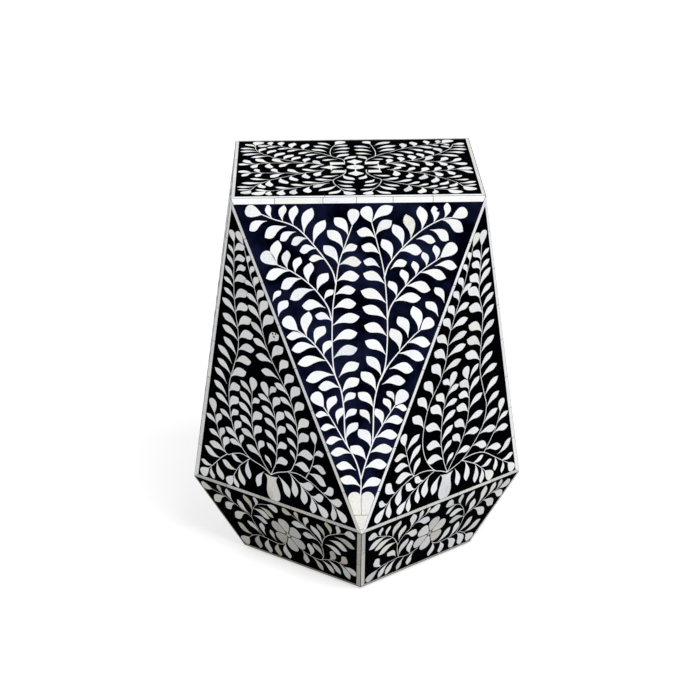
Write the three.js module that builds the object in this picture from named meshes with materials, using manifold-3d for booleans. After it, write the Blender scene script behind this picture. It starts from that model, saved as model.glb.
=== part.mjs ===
// A faceted stool with a bone-inlay finish. The body is a square seat over a square waist that is
// turned 45 degrees, joined by eight triangular panels, and four skirts that taper in to the base.
// Twelve millimetre boards carry a thin face of bone strips and set resin on every outside panel.
// Millimetres, +Z up, origin on the floor below the middle of the seat, front edge towards -Y.
import * as THREE from "three";
import { ConvexGeometry } from "three/addons/geometries/ConvexGeometry.js";
import { mergeVertices } from "three/addons/utils/BufferGeometryUtils.js";
import Module from "manifold-3d";

const wasm = await Module();
wasm.setup();

// Body
const HEIGHT = 457; // floor to seat surface
const SEAT_SIDE = 273.5;
const WAIST_SIDE = 268; // the waist square stands corner to the front
const BASE_SIDE = 187.5; // the base square stands corner to the front too
const WAIST_HEIGHT = 90; // floor to waist
const GLIDE_HEIGHT = 3; // floor to the lower edge of the skirts

// Layers, from the surface inwards
const BONE_THICKNESS = 2.5; // the resin between the bone is as thick
const GLUE_LINE = 0.3; // between any two pieces
const BOARD_THICKNESS = 12;
const BASE_BOARD_THICKNESS = 12;

// Bone strips along the edges of the panels
const SEAT_STRIP = 6;
const BROW_STRIP = 7; // below the seat edge, on the triangles that point down
const SLOPE_STRIP = 5;
const WAIST_STRIP = 4.5;
const SKIRT_CORNER_STRIP = 6;
const BASE_STRIP = 3;
const LONGEST_BONE = 57; // a strip is laid from lengths no longer than this
const JOINT_WIDTH = 0.4; // the hairline between two lengths
const JOINT_DEPTH = 0.6;
const JOINT_OVERRUN_SHARE = 0.2; // of a corner joint's length, cut past both its ends

// Bone at the lower tip of a triangle that points down, measured up the panel from the tip
const TIP_BONE = 5;
const BLOCK_TOP = 21.5;
const LOBE_TOP = 47.5;
const LOBE_RADIUS = 7.2;
const LOBE_MEETING = (5 / 6) * Math.PI; // angle round each lobe at which the notch begins

// Bone vase that stands on the waist strip
const VASE_HEIGHT = 32;
const VASE_WIDTH = 21;
// Half width and height of the vase's side, from foot to lip, as shares of its half width and height.
const VASE_SIDE_SHARES = [
  [0.5, 0],
  [0.86, 0.11],
  [1, 0.32],
  [0.86, 0.55],
  [0.68, 0.78],
  [0.76, 0.92],
  [1, 1],
];
const VASE_DIP_SHARE = 0.05; // how far the middle of the lip sags
const VASE_STEPS = 12; // points up each side

// Bone rosette in the middle of a skirt: petals round a small disc, one of them upright
const ROSETTE_DIAMETER = 50;
const PETALS = 6;
const PETAL_WIDTH = 17;
const ROSETTE_DISC = 5;
const ROSETTE_RISE = 0.5; // share of the skirt's slope at which its centre lies

// Frame of mitred battens glued under the seat board
const BATTEN_WIDTH = 24;
const BATTEN_HEIGHT = 24;

// Nail-on glides
const GLIDE_DIAMETER = 22;
const GLIDE_ROUND = 1.5; // radius of the edge that slides on the floor
const GLIDE_INSET = 34; // from the base corner to the glide's centre
const NAIL_DIAMETER = 2.6;
const NAIL_LENGTH = 9; // inside the base board
const GLIDE_SEGMENTS = 20;

// How far a cutter runs past what it cuts
const OVERRUN = 8;
const CURVE_SEGMENTS = 10; // along each arc of an outline
const EDGE_STEPS = 3; // round the edge of a glide

const SKIN = BONE_THICKNESS + GLUE_LINE;
const SHELL = SKIN + BOARD_THICKNESS;

const bone = new THREE.MeshStandardMaterial({ color: 0xf0eee6, roughness: 0.35 });
const resin = new THREE.MeshStandardMaterial({ color: 0x0c0e1c, roughness: 0.2 });
const fibreboard = new THREE.MeshStandardMaterial({ color: 0x8d6f4e, roughness: 0.9 });
const nylon = new THREE.MeshStandardMaterial({ color: 0x26221f, roughness: 0.6 });

// A closed three.js geometry as a solid for joining and cutting.
function toSolid(geometry) {
  const bare = new THREE.BufferGeometry();
  bare.setAttribute("position", geometry.getAttribute("position"));
  if (geometry.index) bare.setIndex(geometry.index);
  const merged = mergeVertices(bare);
  const mesh = new wasm.Mesh({
    numProp: 3,
    vertProperties: merged.getAttribute("position").array,
    triVerts: new Uint32Array(merged.index.array),
  });
  return new wasm.Manifold(mesh);
}

// The solid back as a three.js geometry.
function toGeometry(solid) {
  const mesh = solid.getMesh();
  const geometry = new THREE.BufferGeometry();
  const positions = new Float32Array(mesh.vertProperties);
  geometry.setAttribute("position", new THREE.BufferAttribute(positions, 3));
  geometry.setIndex(new THREE.BufferAttribute(new Uint32Array(mesh.triVerts), 1));
  return geometry;
}

function united(solids) {
  return solids.reduce((all, one) => all.add(one));
}

// The four corners of a level square, as shown from above, counter-clockwise from the first angle.
function squareCorners(side, height, firstAngle) {
  const radius = side / Math.SQRT2;
  return [0, 1, 2, 3].map((quarter) => {
    const angle = firstAngle + (quarter * Math.PI) / 2;
    return new THREE.Vector3(radius * Math.cos(angle), radius * Math.sin(angle), height);
  });
}

// Corner 0 of the seat is front left, corner 1 front right. Corner 0 of the lower squares is front.
const seatCorners = squareCorners(SEAT_SIDE, HEIGHT, -0.75 * Math.PI);
const waistCorners = squareCorners(WAIST_SIDE, WAIST_HEIGHT, -0.5 * Math.PI);
const baseCorners = squareCorners(BASE_SIDE, GLIDE_HEIGHT, -0.5 * Math.PI);

// A flat outside face. Its own frame has x along its level edge, y up its slope and z outwards,
// with the origin on the lower edge's middle, or on the tip where it points down.
function facet(corners, origin, along) {
  const plane = new THREE.Plane().setFromCoplanarPoints(corners[0], corners[1], corners[2]);
  const outwards = plane.normal;
  const x = along.clone().normalize();
  const y = new THREE.Vector3().crossVectors(outwards, x);
  const frame = new THREE.Matrix4().makeBasis(x, y, outwards).setPosition(origin);
  const toLocal = frame.clone().invert();
  const outline = corners.map((corner) => {
    const local = corner.clone().applyMatrix4(toLocal);
    return new THREE.Vector2(local.x, local.y);
  });
  return { plane, frame, toLocal, outline };
}

function middle(a, b) {
  return a.clone().add(b).multiplyScalar(0.5);
}

// The three kinds of side facet, once for each quarter of the stool.
function sideFacets(quarter) {
  const next = (quarter + 1) % 4;
  const seat = [seatCorners[quarter], seatCorners[next]];
  const waist = [waistCorners[quarter], waistCorners[next]];
  const base = [baseCorners[quarter], baseCorners[next]];
  const face = facet([waist[0], seat[1], seat[0]], waist[0], seat[1].clone().sub(seat[0]));
  const alongWaist = waist[1].clone().sub(waist[0]);
  const flank = facet([waist[0], waist[1], seat[1]], middle(...waist), alongWaist);
  const skirt = facet([base[0], base[1], waist[1], waist[0]], middle(...base), alongWaist);
  return { face, flank, skirt };
}

const X_AXIS = new THREE.Vector3(1, 0, 0);
const seat = facet(seatCorners, new THREE.Vector3(0, 0, HEIGHT), X_AXIS);
const floorCorners = [...baseCorners].reverse();
const base = facet(floorCorners, new THREE.Vector3(0, 0, GLIDE_HEIGHT), X_AXIS);
const quarters = [0, 1, 2, 3].map(sideFacets);
const { face, flank, skirt } = quarters[0];
const skirts = quarters.map((q) => q.skirt);
const sides = quarters.flatMap((q) => [q.face, q.flank, q.skirt]);
const finished = [seat, ...sides];

// Limits on a facet's section at some depth below its surface. Each is a function of a point in
// the facet's frame that is positive where the piece may be.
function depthUnder(own, other) {
  const plane = other.plane.clone().applyMatrix4(own.toLocal);
  return (point) => -plane.distanceToPoint(point);
}

// Mitre with another facet: the piece stays half a glue line on its own side of the plane that
// lies as deep under both.
function mitre(own, other) {
  const plane = other.plane.clone().applyMatrix4(own.toLocal);
  const spread = plane.normal.clone().sub(new THREE.Vector3(0, 0, 1)).length();
  const depth = depthUnder(own, other);
  return (point) => depth(point) + point.z - (GLUE_LINE / 2) * spread;
}

// Stays at least so deep under another facet.
function inside(own, other, least) {
  const depth = depthUnder(own, other);
  return (point) => depth(point) - least;
}

// The line at a distance inside an outline's edge, in the facet's plane. Positive further in.
function within(outline, edge, distance) {
  const from = outline[edge];
  const to = outline[(edge + 1) % outline.length];
  const inward = new THREE.Vector2(from.y - to.y, to.x - from.x).normalize();
  return (point) => (point.x - from.x) * inward.x + (point.y - from.y) * inward.y - distance;
}

function opposite(limit) {
  return (point) => -limit(point);
}

// The part of a polygon where a limit is positive, at a given z.
function clipped(polygon, z, limit) {
  const values = polygon.map((p) => limit(new THREE.Vector3(p.x, p.y, z)));
  return polygon.flatMap((p, i) => {
    const j = (i + 1) % polygon.length;
    const kept = values[i] >= 0 ? [p] : [];
    if (values[i] >= 0 === values[j] >= 0) return kept;
    return [...kept, p.clone().lerp(polygon[j], values[i] / (values[i] - values[j]))];
  });
}

function section(z, limits) {
  const reach = HEIGHT + SEAT_SIDE + WAIST_SIDE + BASE_SIDE;
  const start = [
    new THREE.Vector2(-reach, -reach),
    new THREE.Vector2(reach, -reach),
    new THREE.Vector2(reach, reach),
    new THREE.Vector2(-reach, reach),
  ];
  return limits.reduce((polygon, limit) => clipped(polygon, z, limit), start);
}

// The convex slab between two depths that keeps to all limits.
function slab(top, bottom, limits) {
  const points = [-top, -bottom].flatMap((z) =>
    section(z, limits).map((p) => new THREE.Vector3(p.x, p.y, z)),
  );
  return new ConvexGeometry(points);
}

// An upright prism from an outline in the facet's plane, right through what lies above a depth.
function prism(shape, bottom = BONE_THICKNESS) {
  const height = bottom + 2 * OVERRUN;
  const options = { depth: height, bevelEnabled: false, curveSegments: CURVE_SEGMENTS };
  return toSolid(new THREE.ExtrudeGeometry(shape, options).translate(0, 0, OVERRUN - height));
}

function mitres(own) {
  return finished.filter((other) => other !== own).map((other) => mitre(own, other));
}

// The thin cut between two lengths of bone, from one point of the surface to another.
function hairline(from, to) {
  const along = to.clone().sub(from);
  const box = new THREE.BoxGeometry(along.length(), JOINT_WIDTH, 2 * JOINT_DEPTH);
  box.rotateZ(along.angle());
  const centre = middle(from, to);
  return toSolid(box.translate(centre.x, centre.y, 0));
}

// The cuts across a strip that lies along an outline's edge, between lengths of bone.
function lengthJoints(outline, edge, width) {
  const from = outline[edge];
  const to = outline[(edge + 1) % outline.length];
  const along = to.clone().sub(from);
  const lengths = Math.ceil(along.length() / LONGEST_BONE);
  const inward = new THREE.Vector2(-along.y, along.x).normalize();
  return Array.from({ length: lengths - 1 }, (_, i) => {
    const edgePoint = from.clone().addScaledVector(along, (i + 1) / lengths);
    const outer = edgePoint.clone().addScaledVector(inward, -width / 2);
    return hairline(outer, edgePoint.clone().addScaledVector(inward, 1.5 * width));
  });
}

// The polygon that a set of strip widths leaves free inside an outline.
function windowOf(outline, widths) {
  return section(0, widths.map((width, edge) => within(outline, edge, width)));
}

// Seat: a board on top of the side boards, four mitred strips and the resin between them.
function seatBoard() {
  const limits = sides.map((side) => inside(seat, side, SKIN));
  return slab(SKIN, SHELL, limits);
}

function seatStrip(edge) {
  const count = seat.outline.length;
  const own = within(seat.outline, edge, 0);
  const ends = [1, count - 1].map((step) => {
    const other = within(seat.outline, (edge + step) % count, GLUE_LINE / Math.SQRT2);
    return (point) => other(point) - own(point);
  });
  const inner = opposite(within(seat.outline, edge, SEAT_STRIP));
  const strip = toSolid(slab(0, BONE_THICKNESS, [...mitres(seat), inner, ...ends]));
  return toGeometry(strip.subtract(united(lengthJoints(seat.outline, edge, SEAT_STRIP))));
}

function seatField() {
  const limits = seat.outline.map((_, edge) =>
    within(seat.outline, edge, SEAT_STRIP + GLUE_LINE),
  );
  return slab(0, BONE_THICKNESS, limits);
}

// The side boards are mitred to each other and stop under the seat board.
function sideBoard(own) {
  const others = sides.filter((other) => other !== own).map((other) => mitre(own, other));
  const under = inside(own, seat, SHELL + GLUE_LINE);
  return slab(SKIN, SHELL, [...others, under, inside(own, base, 0)]);
}

// The edge of a face's outline that lies along the seat.
const FACE_BROW = 1;

// Triangle that points down: one strip below the seat, then resin down to the bone at its tip.
function browStrip() {
  const inner = opposite(within(face.outline, FACE_BROW, BROW_STRIP));
  const strip = toSolid(slab(0, BONE_THICKNESS, [...mitres(face), inner]));
  return toGeometry(strip.subtract(united(lengthJoints(face.outline, FACE_BROW, BROW_STRIP))));
}

// The bone at the tip: two round-topped lobes over a block, all trimmed by the panel's sides.
function tipOutline(grow) {
  const radius = LOBE_RADIUS + grow;
  const springing = LOBE_TOP - LOBE_RADIUS;
  const wide = LOBE_TOP;
  const shape = new THREE.Shape();
  shape.moveTo(-wide, -wide);
  shape.lineTo(wide, -wide);
  shape.lineTo(wide, springing);
  shape.absarc(LOBE_RADIUS, springing, radius, 0, LOBE_MEETING, false);
  shape.absarc(-LOBE_RADIUS, springing, radius, Math.PI - LOBE_MEETING, Math.PI, false);
  shape.lineTo(-wide, springing);
  return prism(shape);
}

function tipBone() {
  const body = toSolid(slab(0, BONE_THICKNESS, mitres(face)));
  const joints = [TIP_BONE, BLOCK_TOP].map((level) =>
    hairline(new THREE.Vector2(-LOBE_TOP, level), new THREE.Vector2(LOBE_TOP, level)),
  );
  const seam = hairline(new THREE.Vector2(0, BLOCK_TOP), new THREE.Vector2(0, LOBE_TOP));
  return toGeometry(body.intersect(tipOutline(0)).subtract(united([...joints, seam])));
}

function faceField() {
  const below = within(face.outline, FACE_BROW, BROW_STRIP + GLUE_LINE);
  const field = toSolid(slab(0, BONE_THICKNESS, [...mitres(face), below]));
  return toGeometry(field.subtract(tipOutline(GLUE_LINE)));
}

// Triangle that points up: strips on all three edges, with a vase standing on the lowest.
const flankWidths = [WAIST_STRIP, SLOPE_STRIP, SLOPE_STRIP];

// The vase is a closed curve through its side's shares, grown all round by a clearance.
function vase(grow) {
  const halfWidth = VASE_WIDTH / 2;
  const foot = WAIST_STRIP + GLUE_LINE;
  const side = VASE_SIDE_SHARES.map(
    ([wide, high]) => new THREE.Vector2(wide * halfWidth, foot + high * VASE_HEIGHT),
  );
  const right = new THREE.SplineCurve(side).getPoints(VASE_STEPS);
  const lip = new THREE.Vector2(0, foot + (1 - VASE_DIP_SHARE) * VASE_HEIGHT);
  const left = right.map((p) => new THREE.Vector2(-p.x, p.y)).reverse();
  return prism(new THREE.Shape(grown([...right, lip, ...left], grow)));
}

// A closed outline, counter-clockwise, with every edge moved outwards by a distance.
function grown(points, distance) {
  const count = points.length;
  const normals = points.map((point, i) => {
    const along = points[(i + 1) % count].clone().sub(point).normalize();
    return new THREE.Vector2(along.y, -along.x);
  });
  return points.map((point, i) => {
    const before = normals[(i + count - 1) % count];
    const both = before.clone().add(normals[i]);
    return point.clone().addScaledVector(both, distance / (1 + before.dot(normals[i])));
  });
}

// A frame of bone: the whole bone layer of a facet less its window, with hairlines at its
// corners and between its lengths.
function frameOf(own, limits, widths) {
  const { outline } = own;
  const layer = toSolid(slab(0, BONE_THICKNESS, limits));
  const opening = windowOf(outline, widths);
  const joints = widths.flatMap((width, edge) =>
    width > 0 ? lengthJoints(outline, edge, width) : [],
  );
  const corners = outline.flatMap((corner, i) => {
    const before = widths[(i + widths.length - 1) % widths.length];
    if (before === 0 || widths[i] === 0) return [];
    const nearest = opening.reduce((a, b) =>
      a.distanceTo(corner) < b.distanceTo(corner) ? a : b,
    );
    const beyond = corner.clone().lerp(nearest, -JOINT_OVERRUN_SHARE);
    return [hairline(beyond, corner.clone().lerp(nearest, 1 + JOINT_OVERRUN_SHARE))];
  });
  const border = layer.subtract(prism(new THREE.Shape(opening)));
  return border.subtract(united([...joints, ...corners]));
}

function flankBorder() {
  return toGeometry(frameOf(flank, mitres(flank), flankWidths));
}

function vaseBone() {
  return toGeometry(vase(0).intersect(toSolid(slab(0, BONE_THICKNESS, mitres(flank)))));
}

function flankField() {
  const limits = flankWidths.map((width, edge) => within(flank.outline, edge, width + GLUE_LINE));
  const field = toSolid(slab(0, BONE_THICKNESS, limits));
  return toGeometry(field.subtract(vase(GLUE_LINE)));
}

// Skirt: strips at both corners and along the base, none at the waist, and a rosette.
const skirtWidths = [BASE_STRIP, SKIRT_CORNER_STRIP, 0, SKIRT_CORNER_STRIP];
const skirtLimits = [...mitres(skirt), inside(skirt, base, 0)];
const skirtTop = Math.max(...skirt.outline.map((corner) => corner.y));
const rosetteCentre = new THREE.Vector2(0, skirtTop * ROSETTE_RISE);

// Petals are rounds that reach in to the centre. All share one solid with hairlines between them.
function rosette(grow) {
  const radius = PETAL_WIDTH / 2;
  const reach = ROSETTE_DIAMETER / 2 - radius;
  const lean = Math.acos(radius / reach);
  const petals = Array.from({ length: PETALS }, (_, i) => {
    const angle = Math.PI / 2 + (2 * Math.PI * i) / PETALS;
    const shape = new THREE.Shape();
    const x = rosetteCentre.x + reach * Math.cos(angle);
    const y = rosetteCentre.y + reach * Math.sin(angle);
    shape.absarc(x, y, radius + grow, angle - Math.PI + lean, angle + Math.PI - lean, false);
    shape.lineTo(rosetteCentre.x, rosetteCentre.y);
    return prism(shape);
  });
  return united(petals);
}

function rosetteBone() {
  const layer = toSolid(slab(0, BONE_THICKNESS, skirtLimits));
  const seams = Array.from({ length: PETALS }, (_, i) => {
    const angle = (2 * Math.PI * i) / PETALS;
    const out = new THREE.Vector2(Math.cos(angle), Math.sin(angle));
    const from = rosetteCentre.clone().addScaledVector(out, ROSETTE_DISC / 2);
    return hairline(from, rosetteCentre.clone().addScaledVector(out, ROSETTE_DIAMETER / 2));
  });
  return toGeometry(rosette(0).intersect(layer).subtract(united(seams)));
}

function skirtBorder() {
  return toGeometry(frameOf(skirt, skirtLimits, skirtWidths));
}

function skirtField() {
  const bounds = skirtWidths.map((width, edge) =>
    within(skirt.outline, edge, width > 0 ? width + GLUE_LINE : 0),
  );
  const field = toSolid(slab(0, BONE_THICKNESS, [...skirtLimits, ...bounds]));
  return toGeometry(field.subtract(rosette(GLUE_LINE)));
}

// Base board: drops between the skirts, flush with their lower edges, with holes for the nails.
const glideRadius = BASE_SIDE / Math.SQRT2 - GLIDE_INSET;

function baseBoard() {
  const limits = skirts.map((one) => inside(base, one, SHELL + GLUE_LINE));
  const board = toSolid(slab(0, BASE_BOARD_THICKNESS, limits));
  const holes = [0, 1, 2, 3].map((quarter) => {
    const angle = (quarter * Math.PI) / 2;
    const radius = NAIL_DIAMETER / 2 + GLUE_LINE;
    const depth = NAIL_LENGTH + GLUE_LINE;
    const hole = new THREE.CylinderGeometry(radius, radius, 2 * depth, CURVE_SEGMENTS);
    hole.rotateX(Math.PI / 2);
    return toSolid(
      hole.translate(glideRadius * Math.cos(angle), glideRadius * Math.sin(angle), 0),
    );
  });
  return toGeometry(board.subtract(united(holes)));
}

// The battens follow the slope of the boards round them, with a square opening inside.
function battenFrame() {
  const top = SHELL + GLUE_LINE;
  const bottom = top + BATTEN_HEIGHT;
  const outer = toSolid(slab(top, bottom, sides.map((side) => inside(seat, side, top))));
  const walls = quarters.map((q) => inside(seat, q.face, top + BATTEN_WIDTH));
  return toGeometry(outer.subtract(prism(new THREE.Shape(section(-top, walls)), bottom)));
}

// Glide: a round foot with a softened edge and the nail that holds it, turned about its axis.
function glide() {
  const radius = GLIDE_DIAMETER / 2;
  const shank = NAIL_DIAMETER / 2;
  const edge = new THREE.EllipseCurve(
    radius - GLIDE_ROUND,
    GLIDE_ROUND,
    GLIDE_ROUND,
    GLIDE_ROUND,
    -Math.PI / 2,
    0,
  );
  const profile = [
    new THREE.Vector2(0, 0),
    ...edge.getPoints(EDGE_STEPS),
    new THREE.Vector2(radius, GLIDE_HEIGHT - GLUE_LINE),
    new THREE.Vector2(shank, GLIDE_HEIGHT - GLUE_LINE),
    new THREE.Vector2(shank, GLIDE_HEIGHT + NAIL_LENGTH - NAIL_DIAMETER),
    new THREE.Vector2(0, GLIDE_HEIGHT + NAIL_LENGTH),
  ];
  const turned = new THREE.LatheGeometry(profile, GLIDE_SEGMENTS).rotateX(Math.PI / 2);
  return toGeometry(toSolid(turned));
}

// Assembly
const stool = new THREE.Group();

function add(parent, name, geometry, material) {
  const mesh = new THREE.Mesh(geometry, material);
  mesh.name = name;
  parent.add(mesh);
  return mesh;
}

function facetGroup(own, parent) {
  const group = new THREE.Group();
  group.applyMatrix4(own.frame);
  parent.add(group);
  return group;
}

const seatGroup = facetGroup(seat, stool);
add(seatGroup, "seat_board", seatBoard(), fibreboard);
add(seatGroup, "seat_field", seatField(), resin);
add(seatGroup, "seat_batten_frame", battenFrame(), fibreboard);
add(facetGroup(base, stool), "base_board", baseBoard(), fibreboard);

const faceParts = [
  ["face_board", sideBoard(face), fibreboard],
  ["face_field", faceField(), resin],
  ["face_brow_strip", browStrip(), bone],
  ["face_tip_bone", tipBone(), bone],
];
const flankParts = [
  ["flank_board", sideBoard(flank), fibreboard],
  ["flank_field", flankField(), resin],
  ["flank_border", flankBorder(), bone],
  ["flank_vase", vaseBone(), bone],
];
const skirtParts = [
  ["skirt_board", sideBoard(skirt), fibreboard],
  ["skirt_field", skirtField(), resin],
  ["skirt_border", skirtBorder(), bone],
  ["skirt_rosette", rosetteBone(), bone],
];
const glideGeometry = glide();

["front", "right", "back", "left"].forEach((side, quarter) => {
  const corner = ["front_right", "back_right", "back_left", "front_left"][quarter];
  const turned = new THREE.Group();
  turned.rotation.z = (quarter * Math.PI) / 2;
  stool.add(turned);
  add(seatGroup, `seat_${side}_strip`, seatStrip(quarter), bone);
  const groups = [face, flank, skirt].map((own) => facetGroup(own, turned));
  faceParts.forEach(([name, ...rest]) => add(groups[0], `${side}_${name}`, ...rest));
  flankParts.forEach(([name, ...rest]) => add(groups[1], `${corner}_${name}`, ...rest));
  skirtParts.forEach(([name, ...rest]) => add(groups[2], `${corner}_${name}`, ...rest));
  add(turned, `${side}_glide`, glideGeometry, nylon).position.set(0, -glideRadius, 0);
});

export default stool;
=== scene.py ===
"""Faceted stool in bone inlay: bone leaves, stems, strips and rosettes let into dark resin.

Every length here is in millimetres until a mesh is made, where MM turns it to metres.
A panel is one flat side of the body. Its own coordinates have x along its level edge,
y up its slope and z outwards, seen from outside.
"""

import math
from collections import namedtuple

import bpy
import numpy as np
from mathutils import Matrix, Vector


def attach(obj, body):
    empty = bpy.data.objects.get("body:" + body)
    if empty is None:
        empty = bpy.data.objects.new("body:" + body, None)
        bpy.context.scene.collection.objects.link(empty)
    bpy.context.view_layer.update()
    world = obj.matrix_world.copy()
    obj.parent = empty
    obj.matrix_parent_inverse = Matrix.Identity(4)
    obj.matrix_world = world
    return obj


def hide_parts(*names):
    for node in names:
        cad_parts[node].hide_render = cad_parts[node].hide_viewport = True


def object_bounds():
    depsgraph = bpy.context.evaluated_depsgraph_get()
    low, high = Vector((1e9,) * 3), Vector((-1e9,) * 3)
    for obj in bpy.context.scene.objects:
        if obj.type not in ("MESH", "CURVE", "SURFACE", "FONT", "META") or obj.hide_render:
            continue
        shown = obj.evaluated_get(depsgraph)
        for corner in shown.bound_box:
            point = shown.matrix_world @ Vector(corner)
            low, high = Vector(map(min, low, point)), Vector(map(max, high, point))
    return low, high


MM = 0.001

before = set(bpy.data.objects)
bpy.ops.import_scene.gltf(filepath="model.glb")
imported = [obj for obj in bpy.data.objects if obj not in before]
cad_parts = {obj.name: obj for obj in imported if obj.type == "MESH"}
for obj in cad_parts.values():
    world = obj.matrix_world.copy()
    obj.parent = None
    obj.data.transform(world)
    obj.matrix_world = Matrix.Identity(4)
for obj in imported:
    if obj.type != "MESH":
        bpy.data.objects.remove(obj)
cad_box = [list(corner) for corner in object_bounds()]

# Body sizes, as in the construction
SEAT_SIDE = 273.5
WAIST_SIDE = 268.0
BASE_SIDE = 187.5
WAIST_HEIGHT = 90.0
GLIDE_HEIGHT = 3.0
HEIGHT = cad_box[1][2] / MM

# Widths of the openings cut for the strips, as in the construction
SEAT_STRIP = 6.0
BROW_STRIP = 7.0
SLOPE_STRIP = 5.0
WAIST_STRIP = 4.5
CORNER_STRIP = 6.0
BASE_STRIP = 3.0

# Strips laid narrower than their opening, or tapered
SEAT_SIDE_STRIP = 4.2
OUTER_SLOPE_TOP = 3.2
OUTER_SLOPE_FOOT = 6.0
OUTER_POSTS = (2.2, 3.0)  # on left-handed and on right-handed skirts

# Rosette of a skirt
ROSETTE_PETALS = 6
ROSETTE_RADIUS = 25.0
ROSETTE_DISC_RADIUS = 3.0
ROSETTE_GROUND_MARGIN = 1.2
PETAL_HALF_WIDTH = 8.4
PETAL_GAP = 1.4
PETAL_BULGE = (1.0, 0.7, 0.45)

# Tip of a face, measured up from its lowest point, as in the construction
TIP_START = 0.5
TIP_TRIANGLE_TOP = 5.0
TIP_BLOCK_TOP = 21.5
LOBE_TOP = 47.5
LOBE_RADIUS = 7.2
LOBE_EASE = 0.02
TIP_JOINT = 0.5
TIP_SIDE_GAP = 0.15
TIP_BED_START = 0.2

# Tone of a piece of bone: 0 white, 1 cream, 2 dull grey, white bone in painted shade, 3 tan, 4 dark grey,
# 5 dark brown
WHITE_TONES = (0.0, 0.25)
CREAM_TONES = (0.45, 0.9)
CREAM_SHARE = 0.17
TAN_TONE = 2.9
MARROW_TONE = 3.2  # bone from near the marrow, used for dots
PETAL_TONES = (0.35, 0.95)
DISC_TONE = 1.7
TRIANGLE_TONE = 0.0
BLOCK_TONE = 0.95
LOBE_TONES = (0.8, 0.7)  # right and left
HUB_TONE = 0.6
STALK_TONE = 0.1

# How the bone lies in the resin
BONE_DEPTH = 1.2
LEAF_PROUD = 0.05
STEM_PROUD = 0.09
STEM_LIFT = 0.004  # from the crown of one stem to that of the next
STRIP_PROUD = 0.03
STRIP_EASE = 0.22
DOT_LIFT = 0.03
STALK_LIFT = 0.01
SEAT_BLOCK_LIFT = 0.02
BED_TOP = -0.02
BED_DEPTH = 2.4

# From a strip to the edges that it meets, half a glue line: for each side of a panel, or for all
SEAM = 0.25
SEAT_SEAMS = (0.18, 0.42, 0.42, 0.42)
BROW_SEAM = 0.18
FLANK_SEAMS = (0.22, 0.12, 0.12)
SKIRT_SEAMS = (0.5, 0.35, 0.25, 0.35)
EDGE_EASE = 0.02  # how far the resin stops short of an edge

# How strips are laid in lengths
STRIP_LENGTH = 49.0
JOINT = 0.17
JOINT_STRAY = 5.0

# How leaves and stems are set
STEM_STEP = 3.0
STEM_TAPER = 0.68
STEM_REACH = 3.0  # a leaf that starts nearer to its stem than this starts on its middle line
LEAF_CLEARANCE = 0.4
LEAF_SPREAD = 0.04
SEAT_LOOSENESS = 0.2
FRONT_LOOSENESS = 0.25
BACK_LOOSENESS = 0.9
GRAIN_SPREAD = 400.0  # the grain starts this far off at most, so that no two pieces look alike
CURVE_STEPS = 12  # along one stretch of a stem, or along the arc of a lobe
LEAST_STATIONS = 4
ROUND_STEPS = 20  # across a disc
FIRST_SEED = 100

# Leaf outline. Each row has a share of the leaf's length, then how far it reaches on the side of
# the stem's tip and on the other side, as shares of the length: a comma with a pointed end.
LEAF_SHAPE = np.array([
    (0.00, 0.012, 0.006),
    (0.08, 0.045, -0.016),
    (0.20, 0.125, -0.028),
    (0.33, 0.215, -0.006),
    (0.46, 0.280, 0.045),
    (0.58, 0.312, 0.115),
    (0.70, 0.303, 0.163),
    (0.80, 0.250, 0.156),
    (0.90, 0.152, 0.105),
    (0.96, 0.066, 0.048),
    (1.00, 0.006, 0.004),
])
LONGEST_FULL_LEAF = 25.0

# A head is the leaf at a stem's end, even on both sides
HEAD_STATIONS = np.array([0.012, 0.12, 0.26, 0.4, 0.53, 0.65, 0.76, 0.86, 0.94, 0.99])
HEAD_BULGE = (0.5, 1.15, 0.5)
WIDEST_HEAD = 13.2
LEAST_HALF_WIDTH = 0.01

# How each kind of panel is worked: the width of its stems, how full the leaves are that lean with x and
# against it, the width of a head as a share of its length, the share of tan leaves, and how far its inlay
# and the strip along each of its sides are darkened, in tones. This darkening is painted shade, set panel
# by panel and strip by strip to how each takes the light, deepest on the skirts, the seat and the left
# flank
Hand = namedtuple("Hand", "stem_width full_with_x full_against_x head_width tan_share dullness "
                          "strip_dullness")
FACE_HAND = Hand(1.45, 1.0, 1.0, 0.68, 0.0, 0.0, (0, -0.5, 0))
LEFT_FLANK_HAND = Hand(0.95, 0.98, 0.8, 0.6, 0.0, 0.2, (1.5, 0.5, 0.25))
RIGHT_FLANK_HAND = Hand(0.95, 0.8, 0.98, 0.6, 0.0, 0.0, (1.15, 0.1, 0.1))
LEFT_SKIRT_HAND = Hand(0.75, 0.93, 0.93, 0.68, 0.18, 1.2, (5.0, 1.75, 0, 3.9))
RIGHT_SKIRT_HAND = Hand(0.75, 0.91, 0.91, 0.68, 0.0, 0.6, (1.95, 1.1, 0, 1.0))
SEAT_HAND = Hand(1.0, 0.78, 0.78, 0.68, 0.0, 0.45, (-0.5, 1.1, 1.8, 1.1))

# Joints that show at the front, from the middle of their run; the others are spaced nearly evenly
FRONT_JOINTS = {("front_face", 1): (90, 38, 2, -37, -80), ("seat", 0): (-86, -36, 17, 79),
                ("front_left_skirt", 1): (-10,), ("front_right_skirt", 3): (-11,)}

# The layouts are drawn on a body this tall between its base edge and the seat
DRAWN_HEIGHT = 457.0
DRAWN_SHARE = (HEIGHT - GLIDE_HEIGHT) / DRAWN_HEIGHT


def vine(stem, head=None, leaves=()):
    """The points a stem runs through, the far end of its head, and its leaves as x, y of base and tip."""
    return {"stem": stem, "head": head, "leaves": leaves}


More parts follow.
